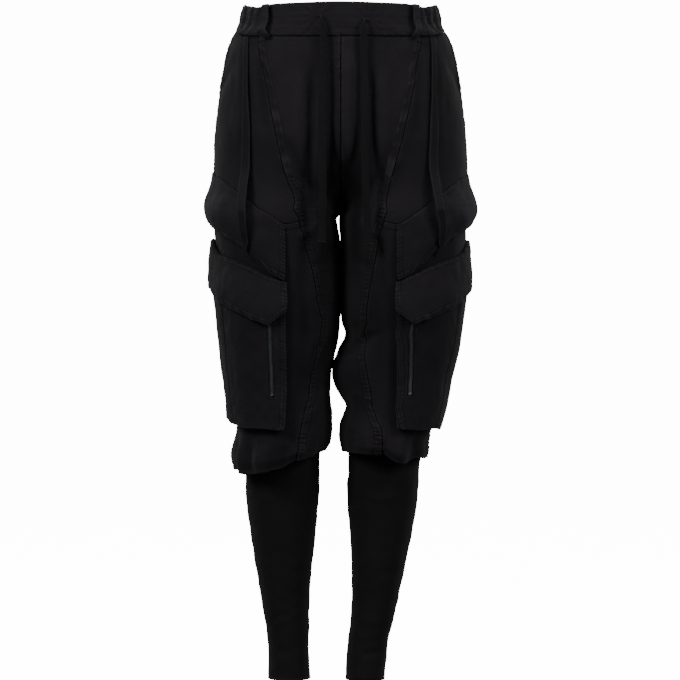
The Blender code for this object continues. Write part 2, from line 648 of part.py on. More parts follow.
def pocket_tier(side):
    """Hangs from the hip seam, puffed, its lower edge slanting like the seam."""
    foot = FOOT_STAND
    cols = [*range(TIER_COLS[0], COL_HEEL + 1), TIER_COLS[1]]
    shares = (0, 0.06, 0.3, 0.62, 0.86, 1)
    spots = []
    for share in shares:
        line = []
        for col in cols:
            drop, puff, tuck = (at(TIER, name, col * MM) for name in ("drop", "puff", "tuck"))
            top = level(side, "hip", col) - 1.5 * MM
            out = foot + (tuck - foot) * ease(0, 1, share) + (puff - tuck) * sin(pi * share ** TIER_SAG)
            row = row_at_z(side, top - drop * share, col)
            line.append((row, col, out if share else foot))
        spots.append(line)
    inner = lay_on(side, spots)
    normals = grid_normals(inner, side)
    normals[0] = [(on_cloth(side, *spot) - on_cloth(side, spot[0], spot[1])) for spot in spots[0]]
    normals /= np.linalg.norm(normals, axis=2, keepdims=True)
    wall(f"pocket_tier_{side}", "twill", inner + normals * FOLDED, inner)


def filled(down):
    """The pocket's mouth lies closer to the leg than the rest of it."""
    return 0.62 + 0.38 * ease(0, FACE_DOWN[1], down)


def face_place(side, across, down, out=0.0):
    """A spot of the pocket face: across 0 front edge to 1 ridge, down 0 to 1."""
    col = COL_POCKET + (COL_RIDGE - COL_POCKET) * across
    top = row_z(side, FACE_TOP_ROW, col)
    low = level(side, "base", col) + 1.0 * MM
    return row_at_z(side, top + (low - top) * down, col), col, FACE_STAND * filled(down) + out


def face_outline_shift(down):
    """How far the front edge comes in at its rounded lower corner, as a share of the width."""
    height = 205 * MM
    into = max(0.0, FACE_CORNER - (1 - down) * height)
    return (FACE_CORNER - sqrt(max(FACE_CORNER ** 2 - into ** 2, 0))) / (118 * MM)


FACE_DOWN = (0, 0.13, 0.26, 0.39, 0.52, 0.65, 0.78, 0.9, 0.965, 1)


def face_line(side, down, steps=5):
    shift = face_outline_shift(down)
    return [face_place(side, shift + (1 - shift) * k / steps, down) for k in range(steps + 1)]


def pocket_face(side):
    inner = lay_on(side, [face_line(side, down) for down in FACE_DOWN])
    normals = grid_normals(inner, side)
    inner = trim(inner, normals, ("front", "back", "low"))
    wall(f"pocket_face_{side}", "twill", inner + normals * WOVEN, inner)


def side_stand(col):
    return at(POCKET_SIDE, "stand", col * MM)


def pocket_side(side):
    """The pocket's outer side, from the ridge round the side seam, tapering on to the back."""
    tops = [row_z(side, FACE_TOP_ROW, col) for col in SIDE_COLS]
    lows = [level(side, "base", col) + 1.0 * MM for col in SIDE_COLS]
    spots = [[(row_at_z(side, top + (low - top) * down, col), col, side_stand(col) * filled(down))
              for col, top, low in zip(SIDE_COLS, tops, lows)] for down in FACE_DOWN]
    inner = lay_on(side, spots)
    normals = grid_normals(inner, side)
    inner = trim(inner, normals, ("front", "low"))
    wall(f"pocket_side_{side}", "twill", inner + normals * WOVEN, inner)


def pocket_gusset(side):
    """The strip that joins the pocket to the leg: down its front edge, round and along its base."""
    path = [face_line(side, down)[0] for down in FACE_DOWN]
    path += face_line(side, 1.0)[1:-1]
    path += [(row_at_z(side, level(side, "base", col) + 1.0 * MM, col), col, side_stand(col))
             for col in SIDE_COLS[:-2]]
    levels = [[(row, col, GUSSET_FOOT + (out - GUSSET_GAP - GUSSET_FOOT) * share)
               for row, col, out in path] for share in (1, 0.5, 0)]
    outer = lay_on(side, levels)
    along = tangents(outer[1][None], 1)[0]
    lift = unit(outer[0] - outer[2])
    inward = unit(np.cross(along, lift))
    inward *= np.sign(((on_cloth(side, 19, 11.5) - outer[1]) * inward).sum(axis=1).mean())
    wall(f"pocket_gusset_{side}", "twill", outer, outer + inward * WOVEN)


def pocket_flap(side):
    """Sewn along the flap line, over the pocket, its corners clipped."""
    shares = (0, 0.1, 0.3, 0.65, 1)
    spots = []
    for share in shares:
        line = []
        for col in FLAP_COLS:
            drop, stand = at(FLAP, "drop", col * MM), at(FLAP, "stand", col * MM)
            out = FOOT_STAND
            if share:
                out += (stand - FOOT_STAND) * ease(-0.35, 0.9, share)
            row = row_at_z(side, level(side, "flap", col) - 2 * MM - drop * share, col)
            line.append((row, col, out))
        spots.append(line)
    inner = lay_on(side, spots)
    normals = grid_normals(inner, side)
    wall(f"pocket_flap_{side}", "twill", inner + normals * FOLDED, inner)


# ---- hardware, ties and cords

ZIP_ACROSS = {"left": 0.187, "right": 0.187}
ZIP_WIDTH = 6.5 * MM
ZIP_DOWN = (0.14, 0.74)
ZIP_THICK = 1.3 * MM


def on_face(side, across, down, out):
    """A point on the pocket face, moved out from it."""
    return on_cloth(side, *face_place(side, across, down, WOVEN + out))


def strip_on_face(name, side, across, downs, width, rise, thick, material):
    share = width / (118 * MM) / 2
    inner = np.array([[on_face(side, across + k * share, down, rise) for k in (-1, 1)]
                      for down in downs])
    outer = np.array([[on_face(side, across + k * share, down, rise + thick) for k in (-1, 1)]
                      for down in downs])
    wall(name, material, outer, inner)


def pocket_zip(side):
    top, low = ZIP_DOWN
    downs = [top + (low - top) * k / 6 for k in range(7)]
    rise = 0.5 * MM
    strip_on_face(f"pocket_zip_{side}", side, ZIP_ACROSS[side], downs, ZIP_WIDTH, rise, ZIP_THICK,
                  "zip_metal")
    above = rise + ZIP_THICK + SEAM_GAP
    strip_on_face(f"zip_stop_{side}", side, ZIP_ACROSS[side], (low - 0.018, low - 0.003),
                  4.5 * MM, above, 1.0 * MM, "zip_metal")
    strip_on_face(f"zip_slider_{side}", side, ZIP_ACROSS[side], (top + 0.01, top + 0.035, top + 0.06),
                  8 * MM, above, 1.4 * MM, "zip_metal")


STRAP_COLUMNS = "z x out width"
STRAP = {                    # the middle of each tie down the front, and how it twists and stands off
    "left": table(STRAP_COLUMNS, (-31, 139, -0.1, 10), (-38, 138.5, 1.2, 10), (-48, 138, 2.6, 9), (-68, 137.5, 3.4, 8),
                  (-118, 137.5, 4, 9), (-170, 136.5, 4, 13), (-222, 137, 5, 14.5),
                  (-262, 136, 16, 14), (-285, 135, 20, 13.5), (-320, 134, 18, 12),
                  (-338, 133.5, 13, 10.5), (-352, 133.5, 12, 3)),
    "right": table(STRAP_COLUMNS, (-31, 134.5, 0.1, 10), (-38, 134, 1.2, 10), (-48, 134, 2.6, 9), (-68, 134, 3.4, 8),
                   (-118, 134, 4, 9), (-170, 134, 4, 14), (-222, 132.5, 5, 14.5),
                   (-262, 133, 16, 14), (-285, 134, 20, 13.5), (-320, 138, 18, 12.5),
                   (-338, 139.5, 13, 11), (-352, 140, 12, 3)),
}
STRAP_THICK = 1.8 * MM


def side_strap(side):
    """A flat tie from under the waist seam, hanging over the yoke and the tier."""
    heights = [-34 * MM, -36.5 * MM, -39 * MM, -43 * MM]
    heights += [-48 * MM - (352 - 48) * MM * (k / 17) for k in range(18)]
    middle, across, out = [], [], []
    for z in heights:
        x = at(STRAP[side], "x", z)
        u = u_at_x(side, z, x)
        stand = at(STRAP[side], "out", z)
        spot = section(side, z, u)
        near = section(side, z, u + 0.01) - spot
        near /= np.hypot(*near)
        normal = np.array([near[1], -near[0]])
        normal *= np.sign(normal[0] + -normal[1])
        spot = spot + normal * stand
        middle.append((SIGN[side] * spot[0], spot[1], z))
        across.append((SIGN[side] * near[0], near[1], 0))
        out.append((SIGN[side] * normal[0], normal[1], 0))
    middle, across, out = np.array(middle), np.array(across), np.array(out)
    widths = np.array([at(STRAP[side], "width", z) for z in heights])[:, None] / 2
    inner = np.stack([middle - across * widths, middle + across * widths], axis=1)
    outer = inner + out[:, None] * STRAP_THICK
    wall(f"side_strap_{side}", "cord", outer, inner)


CORD_WIDTH = 11 * MM
CORD_THICK = 3 * MM
CORD_STEP = 0.0125
CORD_ROUTE = {               # x, y, z in millimetres, from the buttonhole to the free end
    "left": ((-29.5, -109.9, -7), (-29.3, -115.5, -7.5), (-28.5, -118.3, -12), (-26.5, -119.0, -21),
             (-25, -119.2, -40), (-26, -121.2, -70), (-27, -124.2, -110), (-27.8, -127.0, -150),
             (-27.5, -128.0, -190), (-27, -127.5, -235), (-26.5, -126.0, -280),
             (-27, -124.5, -315), (-27.5, -124, -338)),
    "right": ((34.5, -109.7, -12), (34.2, -115.3, -12.5), (33.8, -118.0, -17), (33.4, -118.8, -26),
              (33, -119.0, -44), (33.4, -121.0, -72), (34.0, -124.0, -110), (34.2, -126.8, -150),
              (34.5, -128.0, -190), (35.5, -127.5, -235), (37, -126.0, -280),
              (38.5, -124.5, -315), (39.5, -124, -341)),
}


def smooth_route(points, step):
    """Evenly spaced points of one smooth curve through the route's own points."""
    points = np.array(points, float) * MM
    reach = np.concatenate([[0], np.cumsum(np.linalg.norm(np.diff(points, axis=0), axis=1))])
    count = int(reach[-1] / step) + 1
    return [[blend(reach, points[:, axis], reach[-1] * k / count) for axis in range(3)]
            for k in range(count + 1)]


def drawcord(side):
    name = f"drawcord_{side}"
    line = bpy.data.curves.new(name, "CURVE")
    line.dimensions = "3D"
    line.twist_mode = "MINIMUM"
    path = smooth_route(CORD_ROUTE[side], CORD_STEP)
    spline = line.splines.new("POLY")
    spline.points.add(len(path) - 1)
    for point, spot in zip(spline.points, path):
        point.co = (*spot, 1)
        point.tilt = pi / 2
    line.bevel_depth = CORD_THICK / 2
    line.bevel_resolution = 2
    line.extrude = (CORD_WIDTH - CORD_THICK) / 2
    line.use_fill_caps = True
    line.materials.append(finish("cord"))
    bpy.context.scene.collection.objects.link(bpy.data.objects.new(name, line))


def main():
    for old in list(bpy.data.objects):
        bpy.data.objects.remove(old)
    for side in ("left", "right"):
        GRID[side] = cloth_grid(side)
    for side in ("left", "right"):
        leg_panels(side)
        knit_leg(side)
        pocket_tier(side)
        pocket_face(side)
        pocket_side(side)
        pocket_gusset(side)
        pocket_flap(side)
        pocket_zip(side)
        side_strap(side)
        drawcord(side)
    waistband()
    for name, place in LOOPS.items():
        belt_loop(name, *place)


main()
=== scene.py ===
"""Drop-crotch cargo joggers, dressed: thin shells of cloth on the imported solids' own forms.

The solids' tables are repeated here, and each leg is one smooth surface worked out from them.
A place on it is a pair (row, column): rows run from the waist seam to the gathered cuff,
columns from the centre front (the inseam below the crotch) round the side to the centre back.
Lengths are metres unless a name ends in _MM, +Z is up and the front faces -Y.
"""
from itertools import product
from math import pi

import bpy
import numpy as np
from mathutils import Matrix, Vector


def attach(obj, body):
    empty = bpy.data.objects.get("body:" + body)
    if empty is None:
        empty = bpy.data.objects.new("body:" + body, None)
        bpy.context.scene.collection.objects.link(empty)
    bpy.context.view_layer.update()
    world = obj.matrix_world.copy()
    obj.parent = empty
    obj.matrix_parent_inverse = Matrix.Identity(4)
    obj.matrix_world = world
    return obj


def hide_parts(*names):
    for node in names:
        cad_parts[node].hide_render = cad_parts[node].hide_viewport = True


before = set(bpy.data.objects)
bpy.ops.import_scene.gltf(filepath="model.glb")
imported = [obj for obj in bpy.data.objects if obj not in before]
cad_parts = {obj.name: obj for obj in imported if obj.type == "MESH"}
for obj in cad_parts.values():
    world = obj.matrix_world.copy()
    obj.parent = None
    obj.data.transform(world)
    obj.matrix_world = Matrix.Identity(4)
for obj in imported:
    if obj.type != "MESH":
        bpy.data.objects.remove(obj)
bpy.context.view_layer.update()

MM = 0.001
BODY = "root"

# ---- camera: level with the middle of the garment, 4 m in front, as the photograph was taken
CAMERA_X, CAMERA_Z, CAMERA_FAR = -0.0015, -0.48, 4.0
SEEN = 1.02                  # the photograph's 680 pixels span this at the garment's middle

camera_data = bpy.data.cameras.new("camera")
camera_data.sensor_width = 36
camera_data.lens = 36 * CAMERA_FAR / SEEN
camera_data.clip_end = 100
camera = bpy.data.objects.new("camera", camera_data)
camera.location = (CAMERA_X, -CAMERA_FAR, CAMERA_Z)
camera.rotation_euler = (pi / 2, 0, 0)
bpy.context.scene.collection.objects.link(camera)
bpy.context.scene.camera = camera

# ---- the solids' sizes, as in the part's source
SEAM_GAP = 0.3 * MM          # between two pieces at a seam
WOVEN = 1.4 * MM             # thickness of the brushed twill
KNIT = 1.3 * MM              # thickness of the jersey lower legs
FOLDED = 2.2 * MM            # two layers of twill: flaps and tiers
BAND_WALL = 3.0 * MM         # waistband: two layers and the elastic
FACING_DEPTH = 2.3 * MM      # the hip pocket facing lies this far under the outer cloth

CROTCH_Z = -291 * MM
CUFF_Z = -640 * MM           # from here down the columns keep their places
SEAT_Z = -150 * MM           # the legs start to part here
HIP_SQUARE = 2.25            # how square a section is (2 is an ellipse)
LEG_SQUARE = 2.12


def table(columns, *rows):
    """Named columns of sizes in millimetres, a row for each section, sorted by the first."""
    names = columns.split()
    ordered = np.array(sorted(rows), float) * MM
    return {name: ordered[:, k] for k, name in enumerate(names)}


def blend(xs, ys, x):
    """Smooth curve through the points (xs, ys) that never overshoots; level past the ends."""
    xs, ys, x = (np.asarray(values, float) for values in (xs, ys, x))
    step = np.diff(xs)
    slope = np.diff(ys) / step
    lean = np.zeros(len(xs))
    for k in range(1, len(xs) - 1):
        if slope[k - 1] * slope[k] > 0:
            lean[k] = 2 / (1 / slope[k - 1] + 1 / slope[k])
    x = np.clip(x, xs[0], xs[-1])
    k = np.clip(np.searchsorted(xs, x) - 1, 0, len(step) - 1)
    t = (x - xs[k]) / step[k]
    return ((1 + 2 * t) * (1 - t) ** 2 * ys[k] + t * (1 - t) ** 2 * step[k] * lean[k]
            + t * t * (3 - 2 * t) * ys[k + 1] + t * t * (t - 1) * step[k] * lean[k + 1])


def at(sizes, name, x):
    """The named column of a table at x, which is measured in the table's first column."""
    key = next(iter(sizes))
    return blend(sizes[key], sizes[name], x)


def ease(a, b, x):
    """0 before a, 1 after b, smooth between them."""
    t = np.clip((np.asarray(x, float) - a) / (b - a), 0, 1)
    return t * t * (3 - 2 * t)


def bump(x, middle, width):
    return np.exp(-((np.asarray(x, float) - middle) / width) ** 2)


LEG = {
    "left": table(
        "z outer inner front back",
        (30, 143, 0, -104, 108), (8, 148.5, 0, -106, 111), (-10, 151.5, 0, -108.4, 114.4),
        (-17, 155, 0, -109.2, 115.6), (-27, 166, 0, -110.2, 117.3),
        (-36, 168.5, 0, -111.2, 118.8), (-60, 174.5, 0, -114, 123),
        (-105, 180.5, 0, -118, 131), (-150, 187, 0, -121, 136), (-195, 190, 0, -122, 138),
        (-240, 191, 0, -121, 134), (-288, 190, 0.4, -119, 125), (-298, 190, 7.5, -118, 123),
        (-330, 189, 2.0, -116, 118), (-370, 183, 1.2, -113, 110), (-420, 176, 1.2, -110, 102),
        (-450, 173, 2.2, -107, 98), (-475, 170.5, 4.5, -105, 95), (-498, 168, 9, -104, 94),
        (-530, 164, 16, -102, 91), (-558, 160, 18, -101, 90), (-590, 157, 14.5, -101, 90),
        (-612, 155.5, 14, -102, 92), (-635, 157.5, 17, -105, 96), (-650, 160.5, 26, -106, 97),
        (-690, 158, 29, -104, 95)),
    "right": table(
        "z outer inner front back",
        (30, 141, 0, -104, 108), (8, 146.5, 0, -106, 111), (-10, 149.5, 0, -108.4, 114.4),
        (-17, 153.5, 0, -109.2, 115.6), (-27, 163.5, 0, -110.2, 117.3),
        (-36, 166, 0, -111.2, 118.8), (-60, 172.5, 0, -114, 123),
        (-105, 180, 0, -118, 131), (-150, 185.5, 0, -121, 136), (-195, 189, 0, -122, 138),
        (-240, 190, 0, -121, 134), (-288, 189, 0.4, -119, 125), (-298, 188, -2.3, -118, 123),
        (-330, 187, -0.6, -116, 118), (-370, 181, 0.2, -113, 110), (-420, 174, 0.4, -110, 102),
        (-450, 170, 1.5, -107, 98), (-470, 167, 7.5, -105, 95), (-498, 162, -5, -104, 94),
        (-528, 154, -12.5, -102, 91), (-545, 151, -9, -101, 90), (-564, 147, 0.5, -101, 90),
        (-579, 143.5, 9, -101, 90), (-591, 141, 4, -101, 90), (-607, 136, -1, -102, 91),
        (-622, 130.5, -2, -104, 94), (-640, 128, 0.5, -105, 96), (-690, 129, 2, -104, 95)),
}
SHANK = {
    "left": table(
        "z outer inner front back",
        (-620, 144, 31, -66, 70), (-680, 143, 32, -66, 72), (-700, 143.5, 32, -63, 75),
        (-733, 141, 34.5, -59, 77), (-780, 134.5, 39, -54, 74), (-822, 128, 43.5, -50, 67),
        (-864, 120.5, 46.5, -46, 58), (-903, 114.5, 48, -43, 51), (-930, 110.5, 48, -42, 47),
        (-955, 109, 48, -43, 45), (-986, 109.5, 45.5, -45, 45)),
    "right": table(
        "z outer inner front back",
        (-620, 119, 11, -66, 70), (-680, 117.5, 10.5, -66, 72), (-700, 116.5, 8.6, -63, 75),
        (-733, 112.8, 10, -59, 77), (-780, 105, 13.8, -54, 74), (-822, 96, 15.5, -50, 67),
        (-864, 87, 15.8, -46, 58), (-903, 78, 13.8, -43, 51), (-930, 71.5, 10, -42, 47),
        (-955, 69, 8, -43, 45), (-988, 66, 6.2, -45, 45)),
}
SHANK_TOP = {"left": -626 * MM, "right": -622 * MM}
SHANK_HEM = {"left": -986 * MM, "right": -987 * MM}

# the slanting front seam and the seam that goes on down the inside of the leg, seen from the front
FRONT_SEAM = {
    "left": table("z x", (-47, 121), (-102, 111), (-151, 101), (-203, 90.5), (-248, 79),
                  (-264, 71.5), (-298, 63), (-341, 51), (-385, 39.6), (-433, 32.3), (-452, 28),
                  (-490, 34), (-506, 35.4), (-559, 45.6), (-602, 57), (-640, 61.5), (-690, 62)),
    "right": table("z x", (-45, 118), (-74, 111.3), (-110, 106.3), (-150, 97.4), (-185, 90),
                   (-225, 79), (-261, 70), (-298, 62.6), (-356, 50), (-427, 38), (-446, 36.6),
                   (-460, 36), (-503, 33.7), (-528, 37.2), (-574, 47), (-601, 54), (-612, 59),
                   (-640, 60), (-690, 60)),
}
POCKET_EDGE_X = 81 * MM      # the pockets' front edges hang straight down here


# ---- the grid: what each numbered column and row stands for
COL_FRONT, COL_SEAM, COL_POCKET, COL_RIDGE, COL_SIDE, COL_HEEL, COL_BACK = 0, 6, 9, 14, 16, 18, 27
RIDGE_U, SIDE_U, HEEL_U = 0.42, 0.50, 0.585
ROW_WAIST, ROW_HIP, ROW_FLAP, ROW_BASE, ROW_CUFF, ROW_TUCK = 0, 10, 14, 23, 27, 30
UPPER_SHARE = (0, .05, .18, .33, .48, .63, .77, .86, .93, .98, 1)
LEVEL = {
    "left": table("col waist hip flap base cuff",
                  (0, -36.5, -291, -395, -613, -644), (6, -34, -305, -395, -614, -656),
                  (9, -30, -310, -394, -614, -668), (10.1, -27.5, -293, -385, -613, -672),
                  (11.6, -23.5, -266, -369, -611, -676), (13, -20, -243, -359, -608, -678),
                  (14, -18.5, -236, -352.5, -605, -677),
                  (16, -17, -226, -326, -595, -673), (18, -16, -222, -326, -593, -671),
                  (22, -14.5, -245, -360, -600, -668), (27, -13, -291, -395, -613, -644)),
    "right": table("col waist hip flap base cuff",
                   (0, -36.5, -291, -395, -611, -646), (6, -34, -305, -395, -612, -648),
                   (9, -30, -310, -394, -613, -659), (10.1, -27.5, -293, -383, -612, -661),
                   (11.6, -23.5, -266, -368, -610, -657), (13, -20, -243.5, -359, -609, -654),
                   (14, -18.5, -237, -352, -609, -655),
                   (16, -17, -228, -328, -610, -656), (18, -16, -224, -328, -609, -660),
                   (22, -14.5, -247, -360, -608, -662), (27, -13, -291, -395, -611, -646)),
}

# the largest folds: a line down the front or back, how far it sinks (-) or stands out, its width
FOLD_COLUMNS = "face side x_top z_top x_low z_low depth width"
FOLDS = (
    ("front", "left", 42, -105, 44, -300, -7, 9),
    ("front", "left", 14, -50, 17, -285, -5, 8),
    ("front", "left", 27, -80, 29, -300, 3, 8),
    ("front", "right", 9, -60, 8, -235, 4, 10),
    ("front", "right", 41, -100, 40, -290, -7, 9),
    ("front", "left", 52, -330, 62, -560, -4, 11),
    ("front", "right", 54, -330, 60, -575, -4, 11),
    ("front", "left", 20, -480, 48, -560, -4, 10),
    ("front", "right", 8, -505, 46, -470, -4, 10),
    ("back", "left", 28, -120, 46, -330, -6, 14),
    ("back", "right", 28, -120, 46, -330, -6, 14),
    ("back", "left", 85, -330, 98, -590, -5, 14),
    ("back", "right", 85, -330, 92, -590, -5, 14),
)
GATHERS = 8                  # soft scallops round each blouse above the knit
GATHER_DEPTH = 4.5 * MM
GATHER_TOP = -600 * MM
GATHER_FULL = -650 * MM
SIGN = {"left": -1, "right": 1}

MOUTH_LOW_ROW = 6            # the hip pocket's mouth ends at the side seam here
MOUTH_TOP_COL = 13.2         # and starts here, at the waist seam
MOUTH_GAPE = 2.5 * MM         # how far its edge stands off

BAND_HEIGHT = table("x height", (0, 51.2), (60, 49.5), (100, 48), (112, 45.5), (126, 41.5), (140, 39.5),
                    (150, 38.5))
BAND_BACK_HEIGHT = 41.5 * MM
BAND_PROUD = 1.0 * MM        # the flat front's outer face stands this far off the cloth face
ELASTIC_PROUD = 2.4 * MM
ELASTIC_GATHERS = 30
ELASTIC_DEPTH = 2.2 * MM
BAND_FRONT_U = {"left": 0.243, "right": 0.238}   # the flat front ends under the belt loops

LOOP_WIDTH = 12 * MM
LOOP_THICK = 1.8 * MM
LOOP_STAND = 6.2 * MM        # the clear space that a belt goes through
LOOP_BELOW = 3.5 * MM        # its lower end is sewn this far under the waist seam
LOOPS = {                    # half, face, distance from the middle plane, of its ends from the cloth
    "belt_loop_front_left": ("left", "front", 105.2 * MM, 3.0 * MM),
    "belt_loop_front_right": ("right", "front", 104.4 * MM, 3.0 * MM),
    "belt_loop_back_left": ("left", "back", 76 * MM, 3.3 * MM),
    "belt_loop_back_right": ("right", "back", 76 * MM, 3.3 * MM),
}
LOOP_PROFILE = ((-1, 0), (-2, 0.62), (-4.5, 1), (-17, 1.05), (-31, 1.05), (-43, 1), (-47.5, 0.55),
                (-50.5, 0))  # height from the band's top, share of the stand

TIER_COLS = (COL_POCKET, 18.6)
TIER = table("col drop puff tuck",       # drop below the hip line, how far it stands off
             (9, 81, 5, 3.2), (10, 84, 6, 3.2), (11.6, 78, 8, 3.4), (13.2, 83, 12, 4.0),
             (15, 77, 14.2, 4.2), (16, 77, 15, 4.2), (18.6, 75, 10, 3.0))
TIER_SAG = 1.8               # the tier is fullest low down
FACE_TOP_ROW = 15.2
FACE_STAND = 13.5 * MM
FACE_CORNER = 9 * MM
FOOT_STAND = 0.8 * MM        # what is sewn on the cloth clears its facets by this
FLAP_COLS = (8.9, 9.35, 10.0, 10.5, 11, 12, 13, 14, 15, 16, 17, 18, 18.7)
FLAP = table("col drop stand",           # drop of the lower edge below the flap line
             (8.9, 38, 17.5), (9.35, 49, 19), (10, 70, 20.5), (10.5, 69, 20.5), (11, 71.5, 20),
             (12, 69, 19.5), (13, 66.5, 18.5), (14, 63, 17.5), (15, 66, 16.8), (16, 73, 16.2),
             (17, 69, 14), (18, 57, 9.5), (18.7, 42, 7))
GUSSET_FOOT = 1.3 * MM
GUSSET_GAP = 0.6 * MM        # under the face's rim, whose facets are coarser than the curve
HEEL_COL = 18.2
POCKET_SIDE = table("col stand", (14, 13.5), (15, 13.3), (16, 12.5), (17.2, 7), (18, 1.7), (18.2, 0.8))

FACE_HEIGHT, FACE_WIDTH = 190 * MM, 118 * MM
ZIP_ACROSS = 0.187
ZIP_DOWN = (0.14, 0.74)

STRAP_COLUMNS = "z x out width"
STRAP = {                    # the middle of each tie down the front, and how it twists and stands off
    "left": table(STRAP_COLUMNS, (-31, 139, -0.1, 10), (-38, 138.5, 1.2, 10), (-48, 138, 2.6, 9),
                  (-68, 137.5, 3.4, 8),
                  (-118, 137.5, 4, 9), (-170, 136.5, 4, 13), (-222, 137, 5, 14.5),
                  (-262, 136, 16, 14), (-285, 135, 20, 13.5), (-320, 134, 18, 12),
                  (-338, 133.5, 13, 10.5), (-352, 133.5, 12, 3)),
    "right": table(STRAP_COLUMNS, (-31, 134.5, 0.1, 10), (-38, 134, 1.2, 10), (-48, 134, 2.6, 9),
                   (-68, 134, 3.4, 8),
                   (-118, 134, 4, 9), (-170, 134, 4, 14), (-222, 132.5, 5, 14.5),
                   (-262, 133, 16, 14), (-285, 134, 20, 13.5), (-320, 138, 18, 12.5),
                   (-338, 139.5, 13, 11), (-352, 140, 12, 3)),
}
STRAP_THICK = 1.8 * MM

CORD_WIDTH = 11 * MM
CORD_THICK = 3 * MM
CORD_ROUTE = {               # x, y, z in millimetres, from the buttonhole to the free end
    "left": ((-29.5, -109.9, -7), (-29.3, -115.5, -7.5), (-28.5, -118.3, -12), (-26.5, -119.0, -21),
             (-25, -119.2, -40), (-26, -121.2, -70), (-27, -124.2, -110), (-27.8, -127.0, -150),
             (-27.5, -128.0, -190), (-27, -127.5, -235), (-26.5, -126.0, -280),
             (-27, -124.5, -315), (-27.5, -124, -338)),
    "right": ((34.5, -109.7, -12), (34.2, -115.3, -12.5), (33.8, -118.0, -17), (33.4, -118.8, -26),
              (33, -119.0, -44), (33.4, -121.0, -72), (34.0, -124.0, -110), (34.2, -126.8, -150),
              (34.5, -128.0, -190), (35.5, -127.5, -235), (37, -126.0, -280),
              (38.5, -124.5, -315), (39.5, -124, -341)),
}

